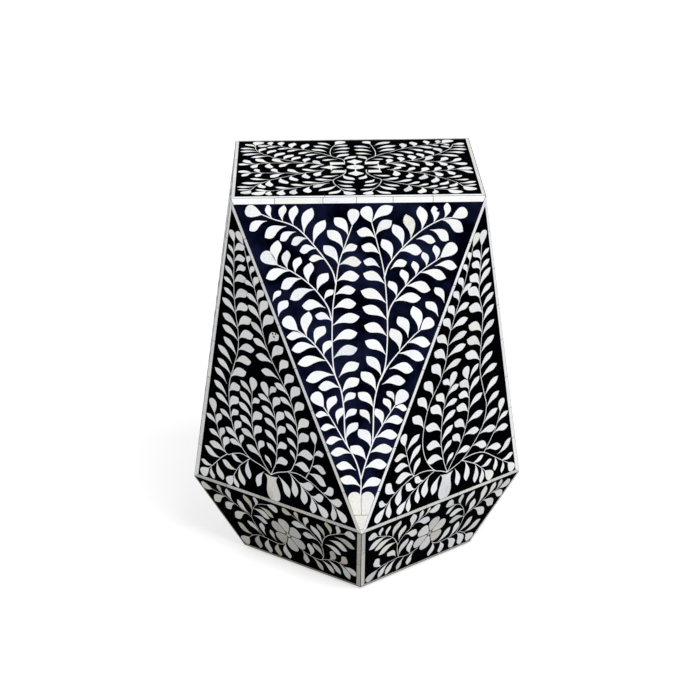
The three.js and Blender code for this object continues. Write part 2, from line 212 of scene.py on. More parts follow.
FACE_VINES = (
    vine(((-1, 41), (0, 52), (0, 62)), None,
         ((-2, 52.5, -23.5, 63), (1, 50.5, 23, 60.5))),
    vine(((0, 62), (-3, 75), (-8, 88), (-19, 107), (-33, 132), (-40, 143)), (-51, 159),
         ((-5.5, 72, -27, 77.5), (-11, 91, -33, 92), (-20, 106, -39, 103), (-27, 120, -45, 119),
          (-33, 132, -51, 134), (-25, 124, -19, 142), (-33.5, 136, -27, 155))),
    vine(((-14, 98), (-17, 112), (-18, 140), (-21, 162), (-28, 182), (-30, 210), (-29, 250), (-25, 280),
          (-22, 300), (-16, 318), (-7, 342)), (-5, 360),
         ((-24, 163, -46, 165), (-30, 179, -59, 173), (-22, 300, -38, 321), (-17, 315, -34, 337),
          (-12, 330, -26, 351), (-17, 107, -3, 125), (-16.5, 127.5, -4, 140), (-16, 145, -5, 158),
          (-20, 159, -1, 174), (-23, 176, -1, 191), (-28, 196, -3, 208), (-29, 215, -3, 225),
          (-30, 233, 0, 243), (-27, 251, -3, 257), (-26, 265, -4, 272), (-24, 280, 0, 287),
          (-20.5, 298, 2, 302), (-16, 311, -1, 320.5))),
    vine(((-27, 178), (-33, 190), (-48, 211), (-58, 221), (-67, 228)), (-82, 242),
         ((-38, 194, -68, 191), (-48, 207, -74, 207), (-58, 220, -79, 221), (-38, 200, -31, 217),
          (-48, 213, -38, 232.5), (-57.5, 222, -55, 248.5))),
    vine(((-30, 238), (-35, 255), (-50, 275), (-70, 291), (-88, 300)), (-105, 313),
         ((-75, 292, -100.5, 286), (-61.5, 282.5, -84.5, 274.5), (-49, 270, -75, 262),
          (-37, 252.5, -62, 255), (-31.5, 238, -48, 244.5), (-89, 302, -87.5, 327),
          (-78, 296, -78, 316), (-67, 290.5, -64, 308.5), (-54, 279, -52, 302), (-45, 271.5, -33, 291),
          (-37, 260, -28, 272))),
    vine(((-25, 278), (-30, 295), (-47, 319), (-68, 341), (-92, 350), (-104, 355)), (-122, 361),
         ((-99, 348, -118, 338), (-78, 342, -101, 330), (-68, 336, -85, 327), (-55, 328, -73, 322),
          (-46, 318, -64, 315), (-36, 305, -54, 306), (-93, 351, -98, 366), (-82, 346, -80, 365),
          (-70, 341, -68, 364), (-59, 335, -50.5, 362), (-47, 322, -36, 348))),
    vine(((0, 62), (6, 82), (13, 102), (17, 110), (30, 132), (38, 144)), (50, 160),
         ((5, 83, -11, 99), (9.7, 96.5, -2, 118), (5.5, 72.5, 29, 78), (11.8, 90, 35.5, 95.5),
          (17, 106, 41, 111), (26, 121.5, 46.5, 128), (35, 142, 52, 139), (23.5, 122, 16.5, 140.5),
          (30, 137, 26, 152), (37, 148, 29, 160))),
    vine(((13, 102), (14, 120), (15, 145), (20, 168), (27, 185), (30, 215), (30, 250), (27, 290),
          (20, 322), (14, 345)), (6, 362),
         ((10.5, 124.5, -0.5, 140), (14, 142, -2, 159), (17, 160, 1.5, 182), (24, 177, 7, 199),
          (28, 199.5, 6, 216), (30, 220, 4.5, 233), (28.5, 238, 3.3, 252.5), (28.5, 257.5, 2, 271),
          (28, 277, 4.5, 290), (22.5, 296, 4.5, 303.5), (22, 309, 2.5, 319.5), (17, 326.5, -2, 335.5),
          (15, 345, 37, 362), (19.5, 330, 36, 347))),
    vine(((22, 172), (30, 187), (40, 200), (58, 220), (66, 227)), (79.5, 238.5),
         ((24, 167.5, 49, 171.5), (32, 184.5, 57.8, 183), (41, 200, 70, 195), (51, 211.5, 76.3, 212),
          (42, 205, 34, 229), (52.5, 219, 42, 242), (61.5, 226, 58, 253.5))),
    vine(((30, 238), (34, 253), (48, 273), (68, 292), (88, 306)), (105, 320),
         ((39, 256.5, 67, 262), (52, 275, 77.3, 271), (67, 288, 94, 283.5), (82, 297, 105.5, 295.5),
          (40, 263, 32, 281), (49, 274, 46, 294), (61, 284, 59, 303), (72, 296, 69, 312),
          (82, 304, 82, 320))),
    vine(((27, 284), (33, 300), (50, 320), (68, 336), (88, 347), (101, 349.5)), (117, 357),
         ((34, 294, 51.5, 302), (45, 312.5, 68, 313.5), (62, 326.5, 83, 324), (77, 336.5, 97, 325),
          (91, 345.5, 112.5, 334.5), (34.5, 303, 25, 327), (45.5, 317.5, 37, 342.5),
          (56, 327, 51, 353.5), (68, 336, 66, 362), (80, 343, 81.5, 362), (93, 349, 96, 366))),
    vine((), None,
         ((-94, 260, -85, 272), (-88, 244, -78, 261), (92, 256.5, 82, 273.5), (85.5, 241.5, 72, 258))),
)

LEFT_FLANK_VINES = (
    vine(((0, 38), (-7, 47), (-13, 58), (-19, 82), (-19, 97), (-17, 112), (-14, 127), (-11, 140)),
          (-5, 158),
         ((-12, 56, -34, 67), (-18, 75, -39, 86), (-19, 90, -38, 104), (-19, 104, -36, 121),
          (-17, 118, -32, 136), (-12, 134, -28, 150), (-13, 63, -4, 79), (-17, 82, -4, 97),
          (-18, 99, 0, 115), (-16, 122, -1, 132))),
    vine(((0, 38), (6, 47), (12, 58), (18, 82), (21, 97), (21, 112), (19, 127), (14, 139)), (9, 157),
         ((13, 66, 1, 79), (17, 80, 1, 95), (20, 98, 3, 110), (20, 112, 1, 125), (17, 131, -2, 139),
          (12, 54, 31, 63), (18, 72, 34, 84), (21, 90, 35, 106), (21, 108, 36, 125), (20, 125, 33, 142),
          (17, 142, 29, 154))),
    vine(((0, 38), (-12, 45), (-32, 51), (-42, 61), (-48, 70), (-53, 90), (-53, 112), (-48, 140),
          (-36, 165), (-25, 187), (-20, 210), (-19, 240), (-15, 272), (-9, 300), (-4.5, 322)),
          (-7, 336.5),
         ((-41, 60, -62, 67), (-46, 68, -65, 82), (-54, 90, -70, 104), (-55, 108, -74, 124),
          (-55, 123, -73, 140), (-52, 140, -68, 157), (-45, 153, -61, 170), (-38, 168, -57, 187),
          (-30, 180, -45, 200), (-23, 200, -44, 215), (-20, 216, -41, 230), (-19, 232, -38, 249),
          (-18, 250, -32, 263), (-17, 265, -30, 276), (-13, 275, -25, 291), (-9, 290, -19, 305),
          (-7, 303, -15, 318), (-43, 63, -38, 79), (-51, 80, -38, 95), (-53, 96, -39, 109),
          (-53, 110, -36, 126), (-50, 129, -31, 142), (-44, 149, -17, 163), (-32, 170, -6, 178),
          (-24, 187, 3, 195), (-20, 203, 4, 213), (-19, 219, 5, 232), (-18, 237, 3, 247),
          (-17, 252, 5, 265), (-13, 272, 6, 281), (-9, 286, 8, 295), (-7, 299, 9, 306),
          (-5, 310, 11, 320), (-11, 39, -26, 16))),
    vine(((0, 38), (12, 44), (32, 51), (40, 60), (48, 75), (53, 95), (54, 115), (50, 143), (40, 165),
          (29, 187), (22, 208), (20, 235), (19, 262), (14, 288), (9.5, 322)), (4.5, 337),
         ((45, 66, 38, 80), (50, 80, 36, 94), (52, 98, 37, 112), (52, 113, 37, 128), (51, 134, 33, 144),
          (47, 149, 28, 160), (36, 166, 9, 171), (29, 181, 4, 188), (25, 197, 3, 208),
          (21, 213, 3, 229), (20, 234, 3, 249), (20, 251, 3, 263), (16, 270, 1, 278), (42, 62, 65, 61),
          (49, 75, 74, 80), (52, 88, 71, 105), (54, 106, 75, 125), (53, 127, 71, 144),
          (51, 143, 67, 163), (45, 160, 60, 176), (38, 175, 55, 192), (31, 190, 50, 208),
          (27, 207, 45.5, 222), (22, 223, 42, 243), (21, 240, 37, 261), (21, 258, 35, 273),
          (18, 273, 29, 288), (15, 285, 26, 300), (12, 298, 22, 312), (12, 40, 26, 16))),
    vine(((-32, 51), (-45, 53), (-58, 50), (-70, 46), (-76, 58), (-79, 72), (-81, 96)), (-81, 115),
         ((-81, 80, -95, 92), (-78, 63, -94, 72), (-72, 46, -98, 55), (-80, 80, -70, 97),
          (-78, 64, -68, 80), (-75, 50, -64, 69))),
    vine(((-70, 46), (-82, 38), (-95, 27), (-106, 18)), (-121, 5),
         ((-83, 37, -107, 47), (-98, 22, -117, 27), (-101, 20, -100, 5), (-88, 31, -84, 9))),
    vine(((-32, 50), (-42, 43), (-52, 35), (-65, 19)), (-77, 5),
         ((-57, 30, -80, 36), (-45, 41, -62.5, 48), (-61, 20, -59, 5), (-51, 33, -48, 11),
          (-32, 47, -38, 22))),
    vine(((32, 50), (45, 51), (58, 48), (70, 43), (90, 31), (100, 22)), (113, 9),
         ((91, 27, 93, 5), (88, 31, 110, 32), (80, 38, 99, 47))),
    vine(((57, 49), (65, 60), (71, 70), (75, 80), (80, 96)), (79, 112),
         ((64, 57, 88, 47), (70, 68, 91, 64), (75, 80, 91, 88))),
    vine(((30, 49), (42, 42), (52, 35), (62, 27), (70, 20)), (84, 6),
         ((32, 46, 36, 19), (44, 38, 49, 13), (62, 28, 61, 6), (60, 29, 82, 32), (44, 41, 68, 41))),
    vine((), None,
         ((3, 47, -5, 62),)),
)

RIGHT_FLANK_VINES = (
    vine(((0, 38), (-5, 47), (-10, 57), (-18, 80), (-21, 100), (-22, 118), (-20, 135), (-15, 149)),
          (-11, 167),
         ((-12, 55, -39, 62), (-19, 74, -43, 82), (-22, 94, -49, 108), (-22, 114, -45, 131),
          (-21, 130, -38, 145), (-16, 149, -30, 160), (-14, 62, 0, 79), (-18, 80, -2, 99),
          (-20, 100, -1, 117), (-21, 121, 0, 130), (-19, 137, -1, 149))),
    vine(((0, 38), (5, 47), (11, 57), (19, 75), (23, 97), (22, 118), (18, 138), (13, 151)), (6, 168),
         ((16, 70, 1, 84), (21, 87, 1, 101), (22, 107, 1, 120), (21, 124, 1, 135), (18, 138, 0, 150),
          (12, 56, 35, 60), (20, 77, 47, 79), (23, 94, 49, 102), (23, 112, 43, 127), (20, 132, 34, 150),
          (17, 150, 29, 167))),
    vine(((0, 38), (-12, 43), (-23, 47), (-35, 58), (-45, 73), (-51, 92), (-51, 118), (-46, 140),
          (-34, 162), (-29, 187), (-30, 212), (-24, 240), (-17, 268), (-13, 292), (-10, 315.5)),
          (-8, 333),
         ((-52, 107, -74, 127), (-50, 129, -69, 148), (-45, 147, -61, 166), (-35, 163, -53, 184),
          (-29, 184, -51, 200), (-29, 203, -52, 219), (-29, 220, -47, 239), (-25, 236, -42, 253),
          (-20, 252, -38, 270), (-17, 267, -33, 285), (-14, 284, -29, 300), (-12, 298, -24, 314),
          (-30, 170, -3, 180), (-28, 187, 1, 197), (-29, 203, 0, 213), (-28, 220, -2, 230),
          (-24, 238, -3, 248), (-18, 258, -4, 272), (-11, 38, -21, 15))),
    vine(((0, 38), (12, 42), (24, 47), (36, 58), (47, 72), (54, 88), (54, 108), (48, 122), (39, 142),
          (34, 155), (30, 175), (27, 203), (23, 230), (12, 256), (9, 280), (4.5, 314.5)), (5, 333),
         ((29, 168, 3, 184), (27, 188, 2, 202), (26, 207, 2, 220), (22, 229, -2, 243),
          (13, 249, -8, 265), (10, 267, -8, 281), (8, 283, -8, 296), (7, 297, -9, 310),
          (40, 61, 65, 54), (49, 72, 77, 74), (54, 83, 75, 99), (54, 104, 73, 121), (50, 122, 67, 142),
          (38, 147, 62, 158), (31, 158, 50, 177), (28, 179, 49, 197), (27, 199, 46, 217),
          (24, 218, 40, 237), (21, 235, 37, 252), (15, 250, 31, 265), (11, 264, 25, 285),
          (9, 282, 21, 296), (8, 296, 18, 309), (13, 39, 22, 15))),
    vine(((-23, 47), (-35, 50), (-48, 51), (-58, 50), (-66, 61), (-72, 74), (-80, 93)), (-86, 109),
         ((-62, 53, -88, 51), (-70, 65, -92, 67), (-76, 77, -95, 80), (-58, 52, -52, 71),
          (-68, 66, -54, 88), (-76, 84, -58, 102))),
    vine(((-58, 50), (-68, 46), (-80, 40), (-92, 32), (-101, 22)), (-114, 8),
         ((-86, 38, -104, 53), (-96, 27, -112, 33), (-74, 41, -79, 19), (-91, 31, -91, 7))),
    vine(((-23, 46), (-35, 41), (-47, 35), (-57, 29), (-66, 21)), (-78, 8),
         ((-53, 34, -70, 43), (-58, 27, -59, 5), (-45, 34, -45, 12), (-31, 40, -35, 16),
          (-40, 39, -56, 47))),
    vine(((24, 47), (40, 49), (55, 48), (68, 43), (80, 36), (97, 26), (110, 19)), (124, 5),
         ((84, 34, 88, 15), (99, 25, 101, 8), (97, 26, 117, 30), (88, 36, 108, 52))),
    vine(((62, 46), (68, 55), (73, 64), (78, 75), (81, 93)), (81, 110),
         ((62, 50, 92, 45), (75, 66, 100, 70), (79, 79, 95, 90))),
    vine(((24, 46), (38, 40), (50, 34), (60, 27), (69, 20)), (84, 6),
         ((30, 42, 37, 16), (48, 35, 53, 9), (62, 26, 65, 5), (44, 38, 62, 42), (60, 29, 78, 33))),
    vine((), None,
         ((-3, 47, 6, 62),)),
)

LEFT_SKIRT_VINES = (
    vine(((12, 32), (20, 27), (30, 24), (40, 24), (48, 27), (58, 30), (70, 31), (81, 27)), (97, 20),
         ((14, 30, 14, 9), (27, 23, 38, 6), (42, 24, 56, 8), (55, 28, 68, 11), (72, 30, 80, 8),
          (27, 26, 33, 47), (56, 31, 71, 48), (74, 32, 90, 45))),
    vine(((45, 26), (51, 35), (54, 50), (48, 64), (40, 74), (30, 82), (22, 87)), (8, 91),
         ((49, 31, 40, 50), (51, 57, 28, 60), (43, 71, 16, 73), (42, 75, 48, 92), (33, 79, 31, 97))),
    vine(((54, 50), (63, 64), (72, 72), (83, 78), (95, 83), (104, 86)), (121, 89),
         ((57, 57, 50, 81), (66, 67, 62, 87), (62, 56, 83, 47), (73, 66, 97, 57), (85, 75, 112, 66),
          (79, 76, 80, 97), (91, 80, 98, 96))),
    vine(((-12, 31), (-20, 27), (-30, 26), (-42, 28), (-55, 29), (-68, 25), (-78, 18)), (-93, 6),
         ((-12, 29, -16, 6), (-26, 25, -33, 4), (-42, 27, -49, 4), (-56, 26, -65, 6),
          (-27, 29, -30, 47), (-67, 26, -88, 39))),
    vine(((-47, 28), (-53, 40), (-56, 57), (-51, 68), (-44, 77), (-34, 85), (-17, 90)), (-1, 86),
         ((-43, 33, -42, 53), (-53, 32, -68, 48), (-51, 62, -30, 56), (-45, 74, -23, 66),
          (-33, 82, -14, 71), (-48, 70, -53, 94), (-38, 80, -34, 97))),
    vine(((-57, 58), (-68, 66), (-80, 73), (-92, 80), (-110, 84)), (-130, 86),
         ((-57, 62, -70, 81), (-63, 59, -88, 46), (-78, 70, -98, 58), (-90, 77, -115, 64),
          (-80, 74, -82, 94), (-93, 80, -96, 96))),
)

RIGHT_SKIRT_VINES = (
    vine(((-12, 30), (-20, 26), (-32, 25), (-43, 27), (-55, 26), (-68, 24), (-75, 20)), (-88, 6),
         ((-17, 28, -19, 6), (-31, 25, -36, 5), (-46, 26, -55, 4), (-59, 25, -67, 4),
          (-22, 28, -31, 49), (-70, 26, -87, 40))),
    vine(((-43, 27), (-50, 38), (-55, 50), (-52, 61), (-46, 69), (-38, 77), (-30, 83), (-20, 88)),
          (-2, 90),
         ((-44, 31, -40, 55), (-50, 31, -69, 43), (-48, 63, -26, 57), (-37, 76, -11, 72),
          (-45, 73, -49, 95), (-38, 80, -34, 97), (-25, 86, -21, 97))),
    vine(((-55, 50), (-60, 57), (-70, 67), (-82, 74), (-102, 81)), (-117, 86),
         ((-57, 58, -55, 81), (-62, 57, -85, 46), (-73, 66, -96, 57), (-86, 73, -108, 63),
          (-70, 70, -69, 93), (-85, 76, -86, 91), (-97, 80, -100, 94))),
    vine(((12, 30), (22, 25), (35, 24), (48, 26), (60, 28), (70, 24), (78, 18)), (92, 7),
         ((15, 28, 17, 6), (28, 24, 38, 4), (42, 24, 60, 4), (58, 26, 75, 4), (24, 27, 38, 44),
          (44, 28, 51, 48), (60, 29, 75, 47), (72, 24, 95, 36))),
    vine(((55, 27), (57, 38), (57, 52), (52, 64), (45, 73), (36, 80), (25, 83)), (11, 91),
         ((54, 53, 31, 54), (50, 67, 26, 66), (32, 81, 17, 71), (51, 72, 56, 94), (38, 79, 34, 97))),
    vine(((57, 50), (60, 57), (70, 62), (80, 68), (90, 76), (107, 80)), (123, 87),
         ((58, 58, 64, 79), (73, 66, 76, 95), (70, 59, 96, 44), (83, 68, 107, 54), (96, 77, 120, 65),
          (86, 74, 93, 95), (101, 80, 104, 95))),
)

SEAT_VINES = (
    # Front left quarter
    vine(((-11, -14), (-12, -30), (-17, -43), (-25, -59), (-26, -69), (-24, -83), (-20, -96),
          (-15, -113)), (-6, -128),
         ((-13, -38, -3, -62), (-22, -63, -3, -75), (-21, -82, -5, -92), (-19, -98, -2, -107),
          (-20, -39, -38, -46), (-28, -60, -46, -56), (-25, -88, -42, -110), (-20, -105, -32, -124))),
    vine(((-27, -62), (-36, -70), (-50, -83), (-63, -92), (-75, -100), (-90, -106), (-100, -109)),
          (-113, -124),
         ((-39, -72, -60, -69), (-50, -86, -73, -79), (-67, -98, -90, -91), (-93, -107, -111, -101),
          (-30, -75, -48, -95), (-52, -90, -54, -118), (-66, -99, -70, -124), (-79, -104, -83, -127),
          (-93, -108, -96, -127))),
    vine(((-35, -14), (-50, -22), (-58, -28), (-67, -34), (-76, -42), (-85, -49), (-95, -58),
          (-102, -68), (-109, -79), (-113, -90), (-117, -104)), (-124, -119),
         ((-36, -18, -45, -43), (-56, -28, -54, -53), (-71, -40, -66, -64), (-84, -49, -77, -76),
          (-95, -60, -95, -89), (-105, -75, -102, -95), (-42, -16, -60, -9), (-97, -55, -118, -51),
          (-105, -68, -127, -71), (-113, -86, -132, -88), (-117, -99, -131, -101))),
    vine(((-58, -28), (-72, -27), (-84, -26), (-100, -25), (-117, -22)), (-131, -15),
         ((-61, -28, -76, -8), (-85, -25, -93, -5), (-104, -24, -112, -5), (-79, -28, -95, -47),
          (-102, -27, -111, -43), (-115, -24, -127, -40))),
    # Front right quarter
    vine(((12, -14), (12, -28), (15, -40), (21, -52), (27, -60), (27, -69), (25, -82), (22, -93),
          (18, -103), (15, -114)), (9, -129),
         ((11, -39, 3, -59), (20, -59, 9, -76), (23, -77, 7, -90), (19, -99, 3, -108),
          (19, -39, 38, -45), (29, -61, 47, -54), (25, -90, 42, -109), (20, -110, 36, -126))),
    vine(((29, -63), (38, -71), (51, -83), (63, -92), (71, -99), (83, -104), (98, -111)), (111, -126),
         ((42, -72, 61, -63), (54, -83, 69, -73), (63, -93, 78, -83), (74, -101, 88, -91),
          (85, -106, 99, -99), (96, -110, 110, -103), (29, -79, 46, -93), (56, -90, 52, -118),
          (69, -100, 67, -126), (83, -108, 83, -128))),
    vine(((36, -15), (53, -23), (65, -30), (77, -37), (85, -47), (95, -57), (103, -67), (111, -81),
          (116, -96)), (126, -114),
         ((40, -15, 51, -2), (41, -20, 45, -46), (59, -31, 58, -55), (74, -38, 71, -64),
          (86, -52, 84, -79), (101, -70, 91, -89), (109, -80, 101, -98), (100, -57, 118, -47),
          (108, -66, 124, -65), (112, -80, 131, -75), (116, -92, 131, -89))),
    vine(((65, -30), (78, -28), (90, -25), (103, -21), (113, -17)), (131, -12),
         ((55, -25, 66, -5), (70, -28, 80, -7), (86, -27, 95, -6), (103, -21, 108, 1),
          (115, -21, 131, -36), (100, -25, 109, -43), (85, -28, 94, -50))),
    # Back left quarter
    vine(((-12, 12), (-12, 30), (-16, 40), (-25, 50), (-27, 62), (-27, 78), (-25, 95), (-20, 112)),
          (-12, 128),
         ((-12, 33, 2, 51), (-20, 45, -6, 63), (-24, 68, -6, 76), (-23, 84, -4, 93),
          (-21, 100, -6, 107), (-20, 36, -37, 32), (-29, 53, -44, 45), (-31, 74, -48, 88),
          (-29, 92, -46, 105), (-26, 106, -41, 121))),
    vine(((-27, 53), (-34, 64), (-45, 75), (-55, 85), (-64, 90), (-75, 97), (-86, 105), (-97, 110)),
          (-111, 107),
         ((-39, 64, -56, 57), (-48, 76, -64, 66), (-61, 87, -77, 78), (-71, 96, -88, 90),
          (-86, 105, -100, 97), (-57, 86, -53, 116), (-70, 97, -69, 122), (-82, 106, -83, 128),
          (-93, 111, -96, 129))),
    vine(((-35, 11), (-50, 20), (-60, 23), (-72, 31), (-79, 37), (-90, 47), (-100, 60), (-107, 72),
          (-113, 90), (-114, 112)), (-109, 130),
         ((-57, 21, -52, 45), (-70, 31, -62, 52), (-80, 40, -70, 62), (-91, 51, -80, 73),
          (-100, 66, -90, 87), (-108, 76, -102, 97), (-97, 55, -118, 50), (-107, 67, -128, 63),
          (-111, 79, -131, 81), (-114, 92, -131, 97), (-114, 103, -126, 118), (-50, 19, -66, 2),
          (-36, 12, -51, -3), (-34, 12, -46, 33))),
    vine(((-60, 22), (-80, 22), (-97, 22), (-110, 19), (-119, 17)), (-132, 17),
         ((-79, 22, -93, 44), (-97, 23, -112, 45), (-114, 19, -126, 39), (-71, 21, -85, 2),
          (-97, 22, -96, -3), (-108, 20, -116, -1))),
    # Back right quarter
    vine(((12, 12), (12, 22), (15, 35), (20, 44), (24, 51), (25, 70), (24, 85), (22, 100), (20, 113)),
          (14, 126),
         ((14, 32, 5, 52), (20, 58, 2, 66), (21, 74, 1, 85), (20, 92, 1, 102), (20, 34, 33, 34),
          (27, 50, 45, 42), (29, 72, 48, 86), (28, 88, 49, 103), (25, 104, 44, 122))),
    vine(((24, 50), (29, 57), (35, 64), (43, 71), (53, 83), (65, 92), (77, 100), (91, 106), (105, 113)),
          (115, 129),
         ((40, 62, 57, 50), (51, 74, 69, 62), (63, 85, 81, 73), (71, 97, 93, 88), (88, 106, 100, 99),
          (102, 111, 112, 101), (56, 86, 58, 114), (70, 97, 69, 121), (86, 103, 85, 126),
          (97, 111, 100, 128))),
    vine(((35, 13), (50, 20), (65, 27), (75, 36), (85, 47), (95, 55), (101, 65), (108, 76), (113, 88),
          (117, 106)), (130, 110),
         ((53, 21, 52, 45), (66, 28, 64, 53), (78, 38, 73, 62), (91, 52, 83, 74), (101, 65, 94, 89),
          (110, 86, 103, 100), (96, 53, 120, 46), (106, 66, 128, 63), (112, 79, 131, 79),
          (117, 94, 131, 94), (39, 13, 57, -2), (54, 21, 73, 1), (35, 13, 40, 36))),
    vine(((65, 27), (80, 22), (92, 21), (105, 16), (111, 12)), (127, 7),
         ((78, 24, 88, 48), (94, 21, 105, 42), (105, 15, 121, 36), (76, 23, 86, 0), (91, 22, 103, 0))),
)

# Flaws in the bone at the front, filled with resin: x, y and radius
FLAWS = {"front_face": ((85.9, 357.2, 1.6),),
         "front_left_flank": ((36.5, 221.5, 1.25), (41.2, 222.0, 1.1), (37.9, 218.2, 1.25))}

# The seat's rosette: petals from inner to outer point with half their width, stalks, and square
# blocks by their left and right edge. A petal's outline has a share of its length and of that width.
SEAT_HUB = (0.0, -2.0)
SEAT_HUB_RADIUS = 9.6
SEAT_DOT_RADIUS = 1.9
SEAT_PETALS = ((0, 11, 0, 35, 8.8), (0, -18, 0, -43, 8.8),
               (-14, -2, -39, -2, 7.6), (14, -2, 39, -2, 7.6))
SEAT_PETAL_SHAPE = ((0, 0.03), (0.2, 0.22), (0.36, 0.62), (0.52, 1.0), (0.64, 0.9), (0.84, 0.34),
                    (1, 0.03))
SEAT_STALKS = ((0, 7, 0, 13), (0, -11, 0, -20), (-27, -16, -27, 12), (27, -17, 26, 12))
SEAT_STALK_HALF_WIDTH = 0.6
SEAT_BLOCKS = (((-28, 23), (-13, 21), (-28, 10), (-12, 12)),
               ((12, 22), (28, 25), (11, 11), (26, 12)),
               ((-25, -15), (-12, -17), (-28, -28), (-12, -27)),
               ((14, -17), (27, -16), (14, -28), (29, -28)))

# Panels of the body

SIDES = ("front", "right", "back", "left")
CORNERS = ("front_right", "back_right", "back_left", "front_left")
RIGHT_HANDED = (0, 2)  # quarters laid as the one at the front right; the others as at the front left


def unit(vector):
    """The vector over its own length."""
    return np.asarray(vector, float) / np.linalg.norm(vector)


def unit_rows(vectors):
    """Each row over its own length."""
    return vectors / np.linalg.norm(vectors, axis=-1, keepdims=True)


def turned(vectors):
    """Vectors in a plane, turned a quarter turn to the left."""
    return np.stack([-vectors[..., 1], vectors[..., 0]], -1)


class Panel:
    """One flat side of the body. Corners run anticlockwise seen from outside, and the level edge gives
    x. Each side has the width of its strip, or that at the side's start and end, and the width of the
    opening cut for it."""

    def __init__(self, name, origin, along, corners, strips, openings, seams=SEAM):
        x = unit(along)
        z = unit(np.cross(corners[1] - corners[0], corners[2] - corners[1]))
        self.name = name
        self.origin = np.asarray(origin, float)
        self.axes = np.array([x, np.cross(z, x), z])
        self.corners = ((np.array(corners) - self.origin) @ self.axes.T)[:, :2]
        self.strips = np.array([np.broadcast_to(strip, 2) for strip in strips], float)
        self.openings = np.array(openings, float)
        self.seams = np.broadcast_to(seams, len(corners))

    def inner_lines(self, margins):
        """A point and the inward direction of the line that keeps its margin from each side's ends."""
        ahead = np.roll(self.corners, -1, 0)
        inward = turned(unit_rows(ahead - self.corners))
        start = self.corners + inward * margins[:, :1]
        end = ahead + inward * margins[:, 1:]
        return start, turned(unit_rows(end - start))

    def inset(self, margins):
        """The corner points of the outline once each side has moved inwards by its margins."""
        both_ends = margins if margins.ndim == 2 else np.stack([margins, margins], 1)
        start, inward = self.inner_lines(both_ends)
        level = (start * inward).sum(1)
        pairs = np.stack([np.roll(inward, 1, 0), inward], 1)
        return np.linalg.solve(pairs, np.stack([np.roll(level, 1), level], 1)[..., None])[..., 0]

    def kept_inside(self, points):
        """Points pushed in, at right angles to a side, where they lie past the strip along it."""
        for start, inward in zip(*self.inner_lines(self.strips + LEAF_CLEARANCE)):
            short = -(points - start) @ inward
            points = points + np.maximum(short, 0)[..., None] * inward
        return points

    def side(self, run):
        """The middle and the length of one side."""
        start, end = self.corners[run], self.corners[(run + 1) % len(self.corners)]
        return (start + end) / 2, np.linalg.norm(end - start)

    def placed(self, points):
        """Points of the panel in the body's frame, in metres."""
        return (self.origin + points @ self.axes) * MM


def ring(radius, height):
    """Four corners at a radius: front, right, back, left."""
    angles = [q * math.pi / 2 for q in range(4)]
    return [np.array([radius * math.sin(angle), -radius * math.cos(angle), height])
            for angle in angles]


def seat_ring(height):
    """Four seat corners: front right, back right, back left, front left."""
    half = SEAT_SIDE / 2
    return [np.array([half * x, half * y, height]) for x, y in ((1, -1), (1, 1), (-1, 1), (-1, -1))]


def body_panels():
    """All thirteen panels: the seat, then face, flank and skirt of each quarter."""
    seat = seat_ring(HEIGHT)
    waist = ring(WAIST_SIDE / math.sqrt(2), WAIST_HEIGHT)
    base = ring(BASE_SIDE / math.sqrt(2), GLIDE_HEIGHT)
    panels = [Panel("seat", (0, 0, HEIGHT), (1, 0, 0), [seat[3], seat[0], seat[1], seat[2]],
                    [SEAT_STRIP, SEAT_SIDE_STRIP, SEAT_SIDE_STRIP, SEAT_SIDE_STRIP],
                    [SEAT_STRIP] * 4, SEAT_SEAMS)]
    for q, (side, corner) in enumerate(zip(SIDES, CORNERS)):
        ahead = (q + 1) % 4
        if q in RIGHT_HANDED:
            slopes = [(OUTER_SLOPE_FOOT, OUTER_SLOPE_TOP), SLOPE_STRIP]
            posts = [OUTER_POSTS[1], CORNER_STRIP]
        else:
            slopes = [SLOPE_STRIP, (OUTER_SLOPE_TOP, OUTER_SLOPE_FOOT)]
            posts = [CORNER_STRIP, OUTER_POSTS[0]]
        panels.append(Panel(side + "_face", waist[q], seat[q] - seat[q - 1],
                            [waist[q], seat[q], seat[q - 1]],
                            [0, BROW_STRIP, 0], [0, BROW_STRIP, 0], BROW_SEAM))
        panels.append(Panel(corner + "_flank", (waist[q] + waist[ahead]) / 2, waist[ahead] - waist[q],
                            [waist[q], waist[ahead], seat[q]],
                            [WAIST_STRIP, *slopes], [WAIST_STRIP, SLOPE_STRIP, SLOPE_STRIP],
                            FLANK_SEAMS))
        panels.append(Panel(corner + "_skirt", (base[q] + base[ahead]) / 2, base[ahead] - base[q],
                            [base[q], base[ahead], waist[ahead], waist[q]],
                            [BASE_STRIP, posts[0], 0, posts[1]],
                            [BASE_STRIP, CORNER_STRIP, 0, CORNER_STRIP], SKIRT_SEAMS))
    return panels


# What is laid on a panel, how it is worked, and how far its leaves stray from their places
Layout = namedtuple("Layout", "vines hand looseness")


def panel_layouts():
    """The layout of each panel by name. Those at the back are set more loosely."""
    left = ((LEFT_FLANK_VINES, LEFT_FLANK_HAND), (LEFT_SKIRT_VINES, LEFT_SKIRT_HAND))
    right = ((RIGHT_FLANK_VINES, RIGHT_FLANK_HAND), (RIGHT_SKIRT_VINES, RIGHT_SKIRT_HAND))
    layouts = {"seat": Layout(SEAT_VINES, SEAT_HAND, SEAT_LOOSENESS)}
    for q, (side, corner) in enumerate(zip(SIDES, CORNERS)):
        flank, skirt = right if q in RIGHT_HANDED else left
        at_side = FRONT_LOOSENESS if side == "front" else BACK_LOOSENESS
        at_corner = FRONT_LOOSENESS if corner.startswith("front") else BACK_LOOSENESS
        layouts[side + "_face"] = Layout(FACE_VINES, FACE_HAND, at_side)
        layouts[corner + "_flank"] = Layout(*flank, at_corner)
        layouts[corner + "_skirt"] = Layout(*skirt, at_corner)
    return layouts


# Shapes of the pieces

# Pieces of one kind: points of each piece, station and place round it, with their grain and tone
Tubes = namedtuple("Tubes", "points grain tone")


